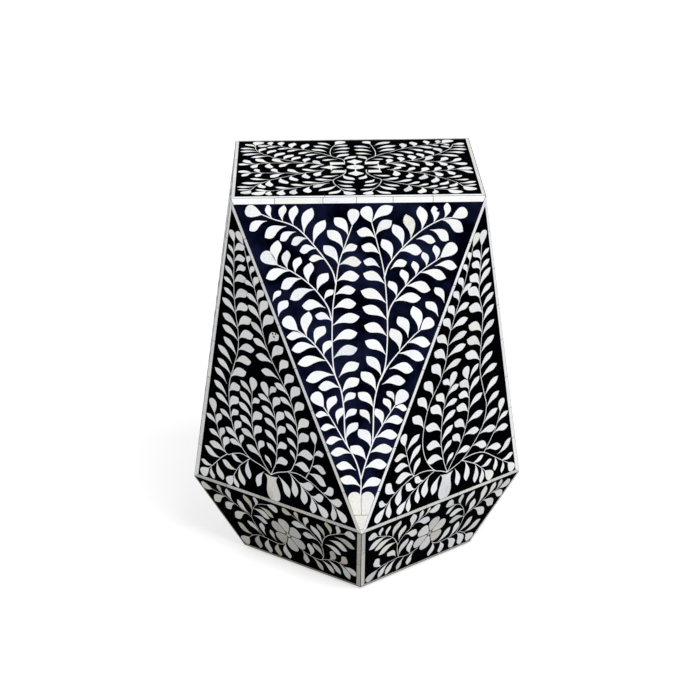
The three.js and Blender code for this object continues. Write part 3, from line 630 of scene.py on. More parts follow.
def with_height(flat, heights):
    """Points of a panel's plane, given a height each."""
    return np.concatenate([flat, np.broadcast_to(heights[:, None], flat.shape[:-1] + (1,))], -1)


def lobe(x, height, rise, fall):
    """Height of one side of a leaf at share x of its length: x^rise (1-x)^fall, scaled to its peak."""
    peak = rise / (rise + fall)
    return height * (x / peak) ** rise * ((1 - x) / (1 - peak)) ** fall


def smooth_path(points, step):
    """A curve through the points, each stretch a cubic whose slope at a point is half the way between
    its two neighbours, resampled at equal steps along its length."""
    given = np.array(points, float)
    padded = np.vstack([2 * given[0] - given[1], given, 2 * given[-1] - given[-2]])
    a, b, c, d = padded[:-3], padded[1:-2], padded[2:-1], padded[3:]
    t = np.linspace(0, 1, CURVE_STEPS, endpoint=False)[:, None, None]
    squared = t**2 * (a - 2.5 * b + 2 * c - 0.5 * d)
    cubed = 0.5 * t**3 * (3 * b - a - 3 * c + d)
    curve = b + 0.5 * t * (c - a) + squared + cubed
    curve = np.vstack([curve.transpose(1, 0, 2).reshape(-1, 2), given[-1]])
    run = np.concatenate([[0], np.cumsum(np.linalg.norm(np.diff(curve, axis=0), axis=1))])
    stations = np.linspace(0, run[-1], max(LEAST_STATIONS, round(run[-1] / step) + 1))
    return np.stack([np.interp(stations, run, curve[:, i]) for i in (0, 1)], 1)


def flat_tubes(left, right, axis_from, axis, top, depth, tone, rng):
    """Flat pieces whose left and right edges are given at each station, as square-edged tubes.
    Grain coordinates run along and across each piece's axis, in millimetres, from a random start."""
    edges = np.stack([left, left, right, right], 2)
    points = with_height(edges, np.array([-depth, top, top, -depth]))
    way = unit_rows(axis)[:, None, None]
    offset = edges - axis_from[:, None, None]
    grain = np.stack([(offset * way).sum(-1), (offset * turned(way)).sum(-1)], -1)
    grain = grain + rng.uniform(-GRAIN_SPREAD, GRAIN_SPREAD, (len(edges), 1, 1, 2))
    return Tubes(points, grain, np.broadcast_to(tone[:, None, None], points.shape[:-1]))


def round_piece(centre, radius, top, depth, tone, rng):
    """A disc as a flat piece: across its middle, the edge stands radius * cos(angle) off the axis."""
    swing = np.linspace(-math.pi / 2, math.pi / 2, ROUND_STEPS + 1)[1:-1]
    level = np.array(centre) + radius * np.sin(swing)[None, :, None] * np.array([1.0, 0])
    lateral = radius * np.cos(swing)[None, :, None] * np.array([0, 1.0])
    return flat_tubes(level + lateral, level - lateral, np.array([centre]), np.array([[1.0, 0]]),
                      top, depth, np.array([tone]), rng)


def bone_tones(count, rng, dullness=0.0, tan_share=0.0):
    """Tone of each piece: most are white and about one in six is cream. The darkening given, painted
    shade, moves all of them that far, and a share of them is tan."""
    creamy = rng.uniform(*CREAM_TONES, count)
    white = rng.uniform(*WHITE_TONES, count)
    tones = dullness + np.where(rng.random(count) < CREAM_SHARE, creamy, white)
    return np.where(rng.random(count) < tan_share, TAN_TONE, tones)


def leaf_tubes(panel, bases, tips, sides, fullness, hand, rng, head_width=0.0):
    """Leaves as tubes of four points round. At each share of its length a leaf reaches so far to
    either side of its axis: by the leaf shape's rows, or for a head by lobe(x), even on both sides. A
    leaf that would lie over a strip is swung about its base until it clears it, three times over."""
    length = np.linalg.norm(tips - bases, axis=1)
    if head_width:
        x = HEAD_STATIONS[None, :, None]
        width = np.minimum(head_width, WIDEST_HEAD / length)[:, None, None]
        back = belly = width * lobe(x, *HEAD_BULGE) + LEAST_HALF_WIDTH
    else:
        x, back, belly = (column[None, :, None] for column in LEAF_SHAPE.T)
        width = fullness * np.minimum(1, LONGEST_FULL_LEAF / length)
        width = (width * rng.normal(1, LEAF_SPREAD, len(bases)))[:, None, None]
        back, belly = back * width, belly * width
    for _ in range(3):
        axis = tips - bases
        across = turned(axis)[:, None] * sides[:, None, None]
        spine = bases[:, None] + axis[:, None] * x
        edges = np.concatenate([spine + across * back, spine - across * belly], 1)
        moved = panel.kept_inside(edges) - edges
        furthest = np.argmax(np.linalg.norm(moved, axis=2), 1)
        tips = tips + np.take_along_axis(moved, furthest[:, None, None], 1)[:, 0]
    back_edge = panel.kept_inside(spine + across * back)
    belly_edge = panel.kept_inside(spine - across * belly)
    leans_left = (sides > 0)[:, None, None]
    left = np.where(leans_left, back_edge, belly_edge)
    right = np.where(leans_left, belly_edge, back_edge)
    tone = bone_tones(len(bases), rng, hand.dullness, hand.tan_share)
    return flat_tubes(left, right, bases, axis, LEAF_PROUD, BONE_DEPTH, tone, rng)


def stem_tube(path, hand, order, rng):
    """A thin strip of bone along a path, with a low crown, that tapers evenly by about a third. Each
    next stem of a panel is set a hair higher, so that stems can cross."""
    along = np.gradient(path, axis=0)
    across = turned(unit_rows(along))
    half = hand.stem_width / 2 * np.linspace(1, STEM_TAPER, len(path))
    sideways = np.array([1, 1, 0, -1, -1])
    crown = STEM_PROUD + STEM_LIFT * order
    heights = np.array([-BONE_DEPTH, LEAF_PROUD, crown, LEAF_PROUD, -BONE_DEPTH])
    flat = path[:, None] + across[:, None] * (half[:, None] * sideways)[..., None]
    points = with_height(flat, heights)[None]
    run = np.linspace(0, STEM_STEP * len(path), len(path))
    grain = np.stack(np.broadcast_arrays(run[:, None], half[:, None] * sideways), -1)[None]
    grain = grain + rng.uniform(-GRAIN_SPREAD, GRAIN_SPREAD, 2)
    tone = hand.dullness + rng.uniform(*WHITE_TONES)
    return Tubes(points, grain, np.full(points.shape[:-1], tone))


def vine_pieces(panel, layout, rng):
    """The leaves and stems of a panel. A leaf bulges towards the tip of its stem, and a loose one to
    the left of its axis where it leans with x."""
    hand = layout.hand
    bases, tips, sides, heads, stems = [], [], [], [], []
    for order, grown in enumerate(layout.vines):
        path = None
        if grown["stem"]:
            path = smooth_path(np.array(grown["stem"], float) * DRAWN_SHARE, STEM_STEP)
            stems.append(stem_tube(path, hand, order, rng))
        if grown["head"]:
            heads.append((path[-1], np.array(grown["head"], float) * DRAWN_SHARE))
        for base_x, base_y, tip_x, tip_y in grown["leaves"]:
            base = np.array([base_x, base_y]) * DRAWN_SHARE
            tip = np.array([tip_x, tip_y]) * DRAWN_SHARE
            side = 1.0 if tip_x > base_x else -1.0
            if path is not None:
                nearest = int(np.argmin(np.linalg.norm(path - base, axis=1)))
                onward = path[min(nearest + 1, len(path) - 1)] - path[max(nearest - 1, 0)]
                side = float(np.sign(turned(tip - base) @ onward)) or 1.0
                if np.linalg.norm(path[nearest] - base) < STEM_REACH:
                    base = path[nearest]
            bases.append(base)
            tips.append(tip)
            sides.append(side)
    bases, tips, sides = np.array(bases), np.array(tips), np.array(sides)
    tips = tips + rng.normal(0, layout.looseness, tips.shape)
    fullness = np.where(tips[:, 0] > bases[:, 0], hand.full_with_x, hand.full_against_x)
    leaves = [leaf_tubes(panel, bases, tips, sides, fullness, hand, rng)]
    ends, tops = (np.array(points) for points in zip(*heads))
    leaves.append(leaf_tubes(panel, ends, tops, np.ones(len(heads)), 1.0, hand, rng, hand.head_width))
    return leaves, stems


def joint_places(length, rng):
    """Joints that cut a strip into near-equal lengths, each a little off its place."""
    count = max(1, round(length / STRIP_LENGTH))
    places = (np.arange(1, count) / count - 0.5) * length
    return places + rng.uniform(-JOINT_STRAY, JOINT_STRAY, len(places))


def strip_lengths(panel, run, joints, dullness, rng):
    """Lengths of bone along one side of the panel, mitred at its ends, with eased top edges.
    Joints are places along the side, from its middle."""
    outer = panel.inset(panel.seams)
    inner = panel.inset(np.maximum(panel.strips, panel.seams[:, None]))
    ahead = (run + 1) % len(outer)
    way = unit(outer[ahead] - outer[run])
    middle, _ = panel.side(run)
    inward = turned(way)

    def ends(points):
        """Both ends of every length on one edge of the strip."""
        limits = (points[[run, ahead]] - middle) @ way
        levels = (points[[run, ahead]] - middle) @ inward
        cuts = np.array(sorted(joints))
        starts = np.concatenate([limits[:1], cuts + JOINT / 2])
        stops = np.concatenate([cuts - JOINT / 2, limits[1:]])
        places = np.stack([starts, stops], 1)
        return middle + places[..., None] * way + np.interp(places, limits, levels)[..., None] * inward

    inner_edge, outer_edge = ends(inner), ends(outer)
    shift = STRIP_EASE * np.array([[1], [-1]]) * way
    sides = [inner_edge, inner_edge, inner_edge + shift - STRIP_EASE * inward,
             outer_edge + shift + STRIP_EASE * inward, outer_edge, outer_edge]
    eased = STRIP_PROUD - STRIP_EASE
    heights = np.array([-BONE_DEPTH, eased, STRIP_PROUD, STRIP_PROUD, eased, -BONE_DEPTH])
    points = with_height(np.stack(sides, 2), heights)
    offset = points[..., :2] - middle
    grain = np.stack([offset @ way, offset @ inward], -1)
    grain = grain + rng.uniform(-GRAIN_SPREAD, GRAIN_SPREAD, (len(points), 1, 1, 2))
    tone = bone_tones(len(points), rng, dullness)
    return Tubes(points, grain, np.broadcast_to(tone[:, None, None], points.shape[:-1]))


def strip_bed(panel, run):
    """The resin that fills a strip's opening, seen in the joints and beside a narrow strip."""
    outer = panel.inset(np.full(len(panel.openings), EDGE_EASE))
    inner = panel.inset(np.maximum(panel.openings, EDGE_EASE) + SEAM)
    ahead = (run + 1) % len(outer)
    left = np.array([[inner[run], inner[ahead]]])
    right = np.array([[outer[run], outer[ahead]]])
    edges = np.stack([left, left, right, right], 2)
    points = with_height(edges, np.array([-BED_DEPTH, BED_TOP, BED_TOP, -BED_DEPTH]))
    return Tubes(points, points[..., :2], np.zeros(points.shape[:-1]))


def rosette_tubes(panel, dullness, rng):
    """Petals round a disc, on a round ground of resin. A petal's half width at share x of its length
    is a lobe with a round end, cut back where it would near its neighbours."""
    centre = np.array([0, np.ptp(panel.corners[:, 1]) / 2])
    turn = 2 * math.pi / ROSETTE_PETALS
    angles = np.arange(ROSETTE_PETALS) * turn + math.pi / 2
    way = np.stack([np.cos(angles), np.sin(angles)], 1)
    start = ROSETTE_DISC_RADIUS + PETAL_GAP / 2
    bases = centre + way * start
    length = ROSETTE_RADIUS - start
    x = HEAD_STATIONS[None, :, None]
    free = (start + length * x) * math.tan(turn / 2) - PETAL_GAP / 2
    half = np.minimum(PETAL_HALF_WIDTH * lobe(x, *PETAL_BULGE), free)
    spine = bases[:, None] + way[:, None] * length * x
    across = turned(way)[:, None]
    tone = dullness + rng.uniform(*PETAL_TONES, ROSETTE_PETALS)
    petals = flat_tubes(spine + across * half, spine - across * half, bases, way,
                        LEAF_PROUD, BONE_DEPTH, tone, rng)
    disc = round_piece(centre, ROSETTE_DISC_RADIUS, LEAF_PROUD, BONE_DEPTH, dullness + DISC_TONE, rng)
    ground = round_piece(centre, ROSETTE_RADIUS + ROSETTE_GROUND_MARGIN, BED_TOP, BED_DEPTH, 0.0, rng)
    return [petals, disc], [ground]


def tip_tubes(panel, dullness, rng):
    """The bone at a face's tip and the resin below it: a triangle, a block and two lobes whose tops
    are arcs of a circle. Across, each reaches from the middle or its joint to the panel's side."""
    slope = panel.corners[1, 0] / panel.corners[1, 1]

    def piece(levels, left, right, top, depth, tone):
        """A flat piece between two edges, given at each level."""
        return flat_tubes(np.stack([left, levels], 1)[None], np.stack([right, levels], 1)[None],
                          np.array([[0, levels[0]]]), np.array([[0, 1.0]]), top, depth,
                          np.array([tone]), rng)

    triangle = np.array([TIP_START, TIP_TRIANGLE_TOP - TIP_JOINT / 2])
    block = np.array([TIP_TRIANGLE_TOP + TIP_JOINT / 2, TIP_BLOCK_TOP - TIP_JOINT / 2])
    tubes = []
    for levels, tone in ((triangle, TRIANGLE_TONE), (block, BLOCK_TONE)):
        side = slope * levels - TIP_SIDE_GAP
        tubes.append(piece(levels, -side, side, STRIP_PROUD, BONE_DEPTH, dullness + tone))
    springing = LOBE_TOP - LOBE_RADIUS
    rise = (LOBE_RADIUS - LOBE_EASE) * np.sin(np.linspace(0, math.pi / 2, CURVE_STEPS))
    levels = np.concatenate([[TIP_BLOCK_TOP + TIP_JOINT / 2], springing + rise])
    reach = np.sqrt(LOBE_RADIUS**2 - np.maximum(levels - springing, 0) ** 2)
    near = np.maximum(LOBE_RADIUS - reach, TIP_JOINT / 2)
    far = np.minimum(LOBE_RADIUS + reach, slope * levels - TIP_SIDE_GAP)
    right_tone, left_tone = LOBE_TONES
    tubes.append(piece(levels, near, far, STRIP_PROUD, BONE_DEPTH, dullness + right_tone))
    tubes.append(piece(levels, -far, -near, STRIP_PROUD, BONE_DEPTH, dullness + left_tone))
    levels = np.array([TIP_BED_START, LOBE_TOP])
    return tubes, [piece(levels, -slope * levels, slope * levels, BED_TOP, BED_DEPTH, 0.0)]


def seat_rosette_tubes(rng):
    """The middle of the seat: a round hub with a dot, four pointed petals, stalks and four blocks."""
    tubes = [round_piece(SEAT_HUB, SEAT_HUB_RADIUS, LEAF_PROUD, BONE_DEPTH, HUB_TONE, rng),
             round_piece(SEAT_HUB, SEAT_DOT_RADIUS, LEAF_PROUD + DOT_LIFT, BONE_DEPTH, MARROW_TONE, rng)]
    petals = np.array(SEAT_PETALS, float)
    shape = np.array(SEAT_PETAL_SHAPE)
    start, way = petals[:, :2], petals[:, 2:4] - petals[:, :2]
    spine = start[:, None] + way[:, None] * shape[None, :, :1]
    reach = turned(unit_rows(way))[:, None] * petals[:, 4, None, None] * shape[None, :, 1:]
    tone = bone_tones(len(petals), rng, SEAT_HAND.dullness)
    tubes.append(flat_tubes(spine + reach, spine - reach, start, way, LEAF_PROUD, BONE_DEPTH, tone, rng))
    stalks = np.array(SEAT_STALKS, float).reshape(-1, 2, 2)
    way = stalks[:, 1] - stalks[:, 0]
    reach = turned(unit_rows(way))[:, None] * SEAT_STALK_HALF_WIDTH
    tubes.append(flat_tubes(stalks + reach, stalks - reach, stalks[:, 0], way,
                            LEAF_PROUD + STALK_LIFT, BONE_DEPTH, np.full(len(stalks), STALK_TONE), rng))
    left, right = np.array(SEAT_BLOCKS, float).reshape(-1, 2, 2, 2).transpose(1, 0, 2, 3)
    tone = bone_tones(len(left), rng, SEAT_HAND.dullness)
    tubes.append(flat_tubes(left, right, left[:, 0], left[:, 1] - left[:, 0],
                            LEAF_PROUD + SEAT_BLOCK_LIFT, BONE_DEPTH, tone, rng))
    return tubes


def tube_faces(pieces, stations, round_points):
    """Point numbers of the walls and end caps of tubes whose points are counted piece by piece."""
    index = np.arange(pieces * stations * round_points).reshape(pieces, stations, round_points)
    following = np.roll(index, -1, 2)
    walls = np.stack([index[:, :-1], following[:, :-1], following[:, 1:], index[:, 1:]], -1)
    caps = np.concatenate([index[:, 0, ::-1], index[:, -1]])
    return walls.reshape(-1, 4), caps


def solid(name, panel, tubes, material, replaces=()):
    """One mesh of many closed tubes of a panel, with its grain as UV map and its tone as attribute."""
    points, grain, tone, faces, total = [], [], [], [], 0
    for group in tubes:
        walls, caps = tube_faces(*group.points.shape[:3])
        faces += (walls + total).tolist() + (caps + total).tolist()
        points.append(group.points.reshape(-1, 3))
        grain.append(group.grain.reshape(-1, 2))
        tone.append(group.tone.reshape(-1))
        total += len(points[-1])
    mesh = bpy.data.meshes.new(name)
    mesh.from_pydata(panel.placed(np.concatenate(points)).tolist(), [], faces)
    corner = np.zeros(len(mesh.loops), np.int32)
    mesh.loops.foreach_get("vertex_index", corner)
    grain_map = mesh.uv_layers.new(name="grain")
    grain_map.data.foreach_set("uv", (np.concatenate(grain) * MM)[corner].astype(np.float32).ravel())
    toned = mesh.attributes.new("tone", "FLOAT", "POINT")
    toned.data.foreach_set("value", np.concatenate(tone).astype(np.float32))
    mesh.materials.append(material)
    mesh.update()
    piece = bpy.data.objects.new(name, mesh)
    bpy.context.scene.collection.objects.link(piece)
    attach(piece, "root")
    if replaces:
        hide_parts(*replaces)


# Materials

# Sizes of patterns, in millimetres. Streaks and pores have three: along the grain of a piece, across
# it and a third without effect, or along x, y and z of a solid block. Real pores, sanding marks and
# spark-eroded grain are about a tenth of a millimetre, too fine to show, so they are drawn coarser.
PIECE_STREAKS = (14, 0.9, 1)
BLOCK_STREAKS = (1.4, 1.4, 16)
PIECE_PORES = (2.6, 0.55, 1)
BLOCK_PORES = (1, 1, 3)
BONE_CLOUDS = 26
BONE_LOTS = 170
BONE_MOTTLE = 1.8
RESIN_CLOUDS = 34
SANDING_MARKS = 0.8
BOARD_FIBRES = 1.2
NYLON_GRAIN = 0.5

# Colour of bone at tones 0 to 5, for a cool and a warm piece
BONE_COLOURS = (("#F4F6FB", "#F6F7F6"), ("#E5E8ED", "#EAE8E1"), ("#ABABA5", "#B1AEA3"),
                ("#C3BDAE", "#C5BDAA"), ("#96958B", "#989486"), ("#8F7F6A", "#8F7E67"))


def linear(code):
    """A colour written as sRGB hex, in linear light."""
    channels = [int(code[i:i + 2], 16) / 255 for i in (1, 3, 5)]
    return (*[c / 12.92 if c <= 0.04045 else ((c + 0.055) / 1.055) ** 2.4 for c in channels], 1.0)


def per_metre(millimetres):
    """How often a pattern of this size fits into a metre."""
    return 1 / (millimetres * MM)


def add(tree, kind, inputs=None, **settings):
    """Adds one node. Inputs fill its sockets, by name or number, with a value or another's output."""
    made = tree.nodes.new(kind)
    for key, value in settings.items():
        setattr(made, key, value)
    for key, value in (inputs or {}).items():
        if isinstance(value, bpy.types.NodeSocket):
            tree.links.new(value, made.inputs[key])
        else:
            made.inputs[key].default_value = value
    return made


def new_material(name):
    """An empty node material."""
    material = bpy.data.materials.new(name)
    material.use_nodes = True
    material.node_tree.nodes.clear()
    return material, material.node_tree


def toned_bone(tree, tone, warmth):
    """The colour of bone at a tone, somewhere between its cool and its warm shade."""
    shades = [add(tree, "ShaderNodeMix", {0: warmth, 6: linear(cool), 7: linear(warm)},
                  data_type="RGBA").outputs[2] for cool, warm in BONE_COLOURS]
    colour = shades[0]
    for step, shade in enumerate(shades[1:]):
        share = add(tree, "ShaderNodeMapRange",
                    {"Value": tone, "From Min": step, "From Max": step + 1}).outputs[0]
        colour = add(tree, "ShaderNodeMix", {0: share, 6: colour, 7: shade},
                     data_type="RGBA").outputs[2]
    return colour


def polished_bone(name, by_piece, streakiness=0.4, dullness=0.0, warmth=0.0):
    """Camel bone, sawn thin, sanded flush and polished: an even cool white with fine streaks along the
    piece, a fine mottle, faint clouds and a few dark pores, and a soft sheen. Some pieces are creamier,
    and others are darkened towards grey or brown: painted shade where a panel takes less light. The
    mottle grows with the tone."""
    material, tree = new_material(name)
    place = add(tree, "ShaderNodeTexCoord").outputs["Object"]
    along = add(tree, "ShaderNodeUVMap", uv_map="grain").outputs[0] if by_piece else place
    streak_scale = [per_metre(size) for size in (PIECE_STREAKS if by_piece else BLOCK_STREAKS)]
    pore_scale = [per_metre(size) for size in (PIECE_PORES if by_piece else BLOCK_PORES)]
    stretched = add(tree, "ShaderNodeMapping", {"Vector": along, "Scale": streak_scale}).outputs[0]
    streaks = add(tree, "ShaderNodeTexNoise", {
        "Vector": stretched, "Scale": 1.0, "Detail": 3.0, "Roughness": 0.6}).outputs[0]
    pore_place = add(tree, "ShaderNodeMapping", {"Vector": along, "Scale": pore_scale}).outputs[0]
    pores = add(tree, "ShaderNodeTexNoise", {
        "Vector": pore_place, "Scale": 1.0, "Detail": 1.0}).outputs[0]
    clouds = add(tree, "ShaderNodeTexNoise", {
        "Vector": place, "Scale": per_metre(BONE_CLOUDS), "Detail": 2.0}).outputs[0]
    mottle = add(tree, "ShaderNodeTexNoise", {
        "Vector": place, "Scale": per_metre(BONE_MOTTLE), "Detail": 1.0}).outputs[0]
    if by_piece:
        tone = add(tree, "ShaderNodeAttribute", attribute_name="tone").outputs["Fac"]
        # A piece's grain starts at a random place, so a slow noise over it hardly changes in a piece
        lot = add(tree, "ShaderNodeTexNoise", {
            "Vector": along, "Scale": per_metre(BONE_LOTS), "Detail": 0.0}).outputs[0]
        warmth = add(tree, "ShaderNodeMapRange", {
            "Value": lot, "From Min": 0.36, "From Max": 0.64}).outputs[0]
    else:
        tone = add(tree, "ShaderNodeMapRange", {
            "Value": clouds, "From Min": 0.35, "From Max": 0.75,
            "To Min": dullness, "To Max": dullness + 0.5}).outputs[0]
    mottling = add(tree, "ShaderNodeMapRange", {
        "Value": tone, "From Max": 3.0, "To Min": 0.08, "To Max": 0.75}).outputs[0]
    colour = toned_bone(tree, tone, warmth)
    for pattern, least, most, depth, shade in ((clouds, 0.42, 0.72, 0.45, "#E8EAEA"),
                                               (streaks, 0.5, 0.78, streakiness, "#D8D9DD"),
                                               (mottle, 0.44, 0.62, mottling, "#CFCDC8"),
                                               (pores, 0.7, 0.78, 1.0, "#B9B2A2")):
        mask = add(tree, "ShaderNodeMapRange", {
            "Value": pattern, "From Min": least, "From Max": most, "To Max": depth}).outputs[0]
        colour = add(tree, "ShaderNodeMix", {0: mask, 6: colour, 7: linear(shade)},
                     data_type="RGBA", blend_type="MULTIPLY").outputs[2]
    roughness = add(tree, "ShaderNodeMapRange", {
        "Value": streaks, "To Min": 0.3, "To Max": 0.42}).outputs[0]
    bump = add(tree, "ShaderNodeBump", {
        "Height": streaks, "Strength": 0.06, "Distance": 0.02 * MM}).outputs[0]
    shader = add(tree, "ShaderNodeBsdfPrincipled", {
        "Base Color": colour, "Roughness": roughness, "IOR": 1.54, "Specular IOR Level": 0.3,
        "Normal": bump})
    add(tree, "ShaderNodeOutputMaterial", {"Surface": shader.outputs[0]})
    return material


def cast_resin(name, dark, pale, gloss):
    """Pigmented polyester resin, poured round the bone and polished: near black with a navy cast,
    clouded where the pigment settled, with faint sanding marks that soften its shine."""
    material, tree = new_material(name)
    place = add(tree, "ShaderNodeTexCoord").outputs["Object"]
    clouds = add(tree, "ShaderNodeTexNoise", {
        "Vector": place, "Scale": per_metre(RESIN_CLOUDS), "Detail": 4.0, "Roughness": 0.55}).outputs[0]
    mask = add(tree, "ShaderNodeMapRange", {
        "Value": clouds, "From Min": 0.4, "From Max": 0.66}).outputs[0]
    colour = add(tree, "ShaderNodeMix", {0: mask, 6: linear(dark), 7: linear(pale)},
                 data_type="RGBA").outputs[2]
    sanding = add(tree, "ShaderNodeTexNoise", {
        "Vector": place, "Scale": per_metre(SANDING_MARKS), "Detail": 2.0}).outputs[0]
    roughness = add(tree, "ShaderNodeMapRange", {
        "Value": sanding, "To Min": 0.34, "To Max": 0.5}).outputs[0]
    bump = add(tree, "ShaderNodeBump", {
        "Height": sanding, "Strength": 0.08, "Distance": 0.02 * MM}).outputs[0]
    shader = add(tree, "ShaderNodeBsdfPrincipled", {
        "Base Color": colour, "Roughness": roughness, "IOR": 1.55, "Specular IOR Level": gloss,
        "Normal": bump})
    add(tree, "ShaderNodeOutputMaterial", {"Surface": shader.outputs[0]})
    return material


def raw_fibreboard():
    """Medium density fibreboard, sawn and left bare: matt brown, flecked with short pale fibres."""
    material, tree = new_material("raw_fibreboard")
    place = add(tree, "ShaderNodeTexCoord").outputs["Object"]
    fibres = add(tree, "ShaderNodeTexNoise", {
        "Vector": place, "Scale": per_metre(BOARD_FIBRES), "Detail": 5.0}).outputs[0]
    colour = add(tree, "ShaderNodeMix", {0: fibres, 6: linear("#6B5138"), 7: linear("#9A7C5A")},
                 data_type="RGBA").outputs[2]
    bump = add(tree, "ShaderNodeBump", {
        "Height": fibres, "Strength": 0.3, "Distance": 0.1 * MM}).outputs[0]
    shader = add(tree, "ShaderNodeBsdfPrincipled", {
        "Base Color": colour, "Roughness": 0.85, "IOR": 1.5, "Normal": bump})
    add(tree, "ShaderNodeOutputMaterial", {"Surface": shader.outputs[0]})
    return material


def moulded_nylon():
    """Injection moulded nylon: dark brown and matt, with a fine spark-eroded grain."""
    material, tree = new_material("moulded_nylon")
    place = add(tree, "ShaderNodeTexCoord").outputs["Object"]
    grain = add(tree, "ShaderNodeTexNoise", {
        "Vector": place, "Scale": per_metre(NYLON_GRAIN), "Detail": 2.0}).outputs[0]
    colour = add(tree, "ShaderNodeMix", {0: grain, 6: linear("#1E1A18"), 7: linear("#2B2622")},
                 data_type="RGBA").outputs[2]
    bump = add(tree, "ShaderNodeBump", {
        "Height": grain, "Strength": 0.2, "Distance": 0.05 * MM}).outputs[0]
    shader = add(tree, "ShaderNodeBsdfPrincipled", {
        "Base Color": colour, "Roughness": 0.5, "IOR": 1.53, "Normal": bump})
    add(tree, "ShaderNodeOutputMaterial", {"Surface": shader.outputs[0]})
    return material


bone = polished_bone("polished_camel_bone", True)
strip_bone = polished_bone("polished_camel_bone_strip", True, streakiness=0.3)
cool_block = polished_bone("polished_camel_bone_block", False, dullness=0.62)
dull_block = polished_bone("dull_camel_bone_block", False, dullness=0.98, warmth=1.0)
# One resin, near black: the faces' copy is paler navy, a painted reflection of the light in front
face_resin_painted_reflection = cast_resin("polyester_resin_painted_reflection", "#000109", "#151A34", 0.001)
black_resin = cast_resin("black_polyester_resin", "#000001", "#010206", 0.0006)
seat_resin = cast_resin("seat_polyester_resin", "#000001", "#010207", 0.0001)
fibreboard = raw_fibreboard()
nylon = moulded_nylon()

# Pieces

# Finish of a solid: the first row whose ending fits its name
FINISHES = (("_glide", nylon), ("_board", fibreboard), ("_batten_frame", fibreboard),
            ("left_flank_vase", dull_block), ("", cool_block))


def panel_resin(name):
    """Near black, with paler navy on the faces: a painted reflection of the light in front."""
    if name.startswith("seat"):
        return seat_resin
    return face_resin_painted_reflection if "_face" in name else black_resin


def dress_panel(panel, layout, rng):
    """Leaves and stems, strips in their lengths over a bed of resin, and what only some panels have."""
    name, hand = panel.name, layout.hand
    leaves, stems = vine_pieces(panel, layout, rng)
    solid(name + "_leaves", panel, leaves, bone)
    solid(name + "_stems", panel, stems, bone)
    runs = [run for run, opening in enumerate(panel.openings) if opening]
    lengths = []
    for run in runs:
        joints = FRONT_JOINTS.get((name, run), joint_places(panel.side(run)[1], rng))
        lengths.append(strip_lengths(panel, run, joints, hand.strip_dullness[run], rng))
    beds = [strip_bed(panel, run) for run in runs]
    solid(name + "_strip_bed", panel, beds, panel_resin(name))
    if name == "seat":
        for side, strip in zip(SIDES, lengths):
            solid("seat_" + side + "_strip_lengths", panel, [strip], strip_bone,
                  ["seat_" + side + "_strip"])
        solid("seat_rosette", panel, seat_rosette_tubes(rng), bone)
    elif name.endswith("_face"):
        solid(name + "_brow_lengths", panel, lengths, strip_bone, [name + "_brow_strip"])
        tip, tip_bed = tip_tubes(panel, hand.dullness, rng)
        solid(name + "_tip_pieces", panel, tip, bone, [name + "_tip_bone"])
        solid(name + "_tip_bed", panel, tip_bed, face_resin_painted_reflection)
    else:
        solid(name + "_border_lengths", panel, lengths, strip_bone, [name + "_border"])
    if name.endswith("_skirt"):
        petals, ground = rosette_tubes(panel, hand.dullness, rng)
        solid(name + "_rosette_petals", panel, petals, bone, [name + "_rosette"])
        solid(name + "_rosette_ground", panel, ground, black_resin)
    if name in FLAWS:
        fillings = [round_piece(np.array((x, y)) * DRAWN_SHARE, radius, STEM_PROUD, BONE_DEPTH, 0.0, rng)
                    for x, y, radius in FLAWS[name]]
        solid(name + "_chip_fillings", panel, fillings, black_resin)


layouts = panel_layouts()
for order, panel in enumerate(body_panels()):
    dress_panel(panel, layouts[panel.name], np.random.default_rng(FIRST_SEED + order))

for name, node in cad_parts.items():
    if name.endswith("_field"):
        finish = panel_resin(name)
    else:
        finish = next(material for ending, material in FINISHES if name.endswith(ending))
    node.data.materials.clear()
    node.data.materials.append(finish)

# Stage, camera and lights. Levels are those a white surface facing the light would show.

SKY_LEVEL = 0.62
KEY_LEVEL = 0.69
KEY_ANGLE = 0.45  # across the window, in radians
KEY_DIRECTION = (0.2, -0.44, 0.49)
KEY_DISTANCE = 2.0  # in metres, without effect, because a sun lights alike from any place
FLOOR_LIFT = 0.62
FLOOR_SIDE = 30.0  # in metres
FLOOR_COLOUR = "#BCBCBC"
WHITE = "#FFFFFF"

# Camera, as found from ten corners of the body in the photo
CAMERA_PLACE = np.array([-65.8, -2762.4, 1122.9]) * MM
CAMERA_FORWARD = np.array([0.02020, 0.95247, -0.30396])
CAMERA_UP = np.array([0.01299, 0.30375, 0.95267])
CAMERA_LENS = 130.02
SENSOR_WIDTH = 36.0


def seen_share(tree):
    """1 for rays from the camera and those it sees by reflection or through glass, 0 for others."""
    path = add(tree, "ShaderNodeLightPath")
    seen = path.outputs["Is Camera Ray"]
    for kind in ("Is Glossy Ray", "Is Transmission Ray"):
        seen = add(tree, "ShaderNodeMath", {0: seen, 1: path.outputs[kind]},
                   operation="MAXIMUM").outputs[0]
    return seen


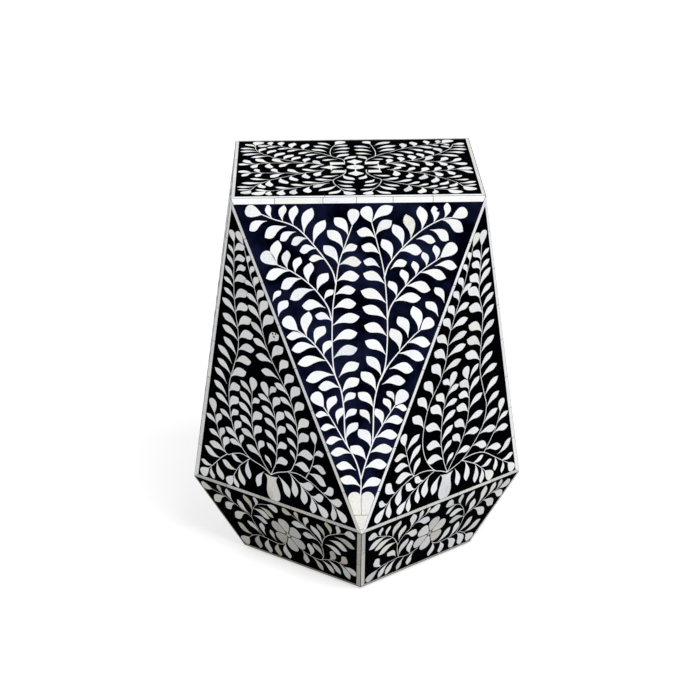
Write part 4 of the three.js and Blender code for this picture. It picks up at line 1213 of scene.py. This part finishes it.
def stage_floor():
    """A pale floor that looks white to the camera and in reflections, and keeps the stool's shadow."""
    material, tree = new_material("pale_studio_floor")
    lift = add(tree, "ShaderNodeMath", {0: seen_share(tree), 1: FLOOR_LIFT},
               operation="MULTIPLY").outputs[0]
    glow = add(tree, "ShaderNodeEmission", {"Color": linear(WHITE), "Strength": lift})
    surface = add(tree, "ShaderNodeBsdfDiffuse", {"Color": linear(FLOOR_COLOUR)})
    shader = add(tree, "ShaderNodeAddShader", {0: surface.outputs[0], 1: glow.outputs[0]})
    add(tree, "ShaderNodeOutputMaterial", {"Surface": shader.outputs[0]})
    bpy.ops.mesh.primitive_plane_add(size=FLOOR_SIDE)
    floor = bpy.context.object
    floor.name = "floor"
    floor.data.materials.append(material)


def set_matrix(holder, rightward, upward, backward, place):
    """Sets the world matrix from three axes and a place."""
    matrix = np.eye(4)
    matrix[:3, :3] = np.stack([rightward, upward, backward], 1)
    matrix[:3, 3] = place
    holder.matrix_world = Matrix(matrix.tolist())


def soft_key():
    """One large, far window of light from the front, a little to the right and well above."""
    lamp = bpy.data.lights.new("key", "SUN")
    lamp.angle = KEY_ANGLE
    lamp.energy = math.pi * KEY_LEVEL
    holder = bpy.data.objects.new("key", lamp)
    bpy.context.scene.collection.objects.link(holder)
    backward = unit(KEY_DIRECTION)
    rightward = unit(np.cross((0, 0, 1), backward))
    set_matrix(holder, rightward, np.cross(backward, rightward), backward, KEY_DISTANCE * backward)


def studio_world():
    """White all round: full white to the camera, softer on the object."""
    world = bpy.data.worlds.new("studio")
    world.use_nodes = True
    tree = world.node_tree
    tree.nodes.clear()
    lighting = add(tree, "ShaderNodeBackground", {"Color": linear(WHITE), "Strength": SKY_LEVEL})
    seen = add(tree, "ShaderNodeBackground", {"Color": linear(WHITE), "Strength": 1.0})
    chosen = add(tree, "ShaderNodeMixShader", {
        0: seen_share(tree), 1: lighting.outputs[0], 2: seen.outputs[0]})
    add(tree, "ShaderNodeOutputWorld", {"Surface": chosen.outputs[0]})
    bpy.context.scene.world = world


def studio_camera():
    """A long lens a little above the seat, facing the front."""
    lens = bpy.data.cameras.new("camera")
    lens.lens = CAMERA_LENS
    lens.sensor_width = SENSOR_WIDTH
    camera = bpy.data.objects.new("camera", lens)
    bpy.context.scene.collection.objects.link(camera)
    forward = unit(CAMERA_FORWARD)
    rightward = unit(np.cross(forward, CAMERA_UP))
    set_matrix(camera, rightward, np.cross(rightward, forward), -forward, CAMERA_PLACE)
    bpy.context.scene.camera = camera


stage_floor()
studio_world()
soft_key()
studio_camera()
bpy.context.scene.view_settings.view_transform = "Standard"
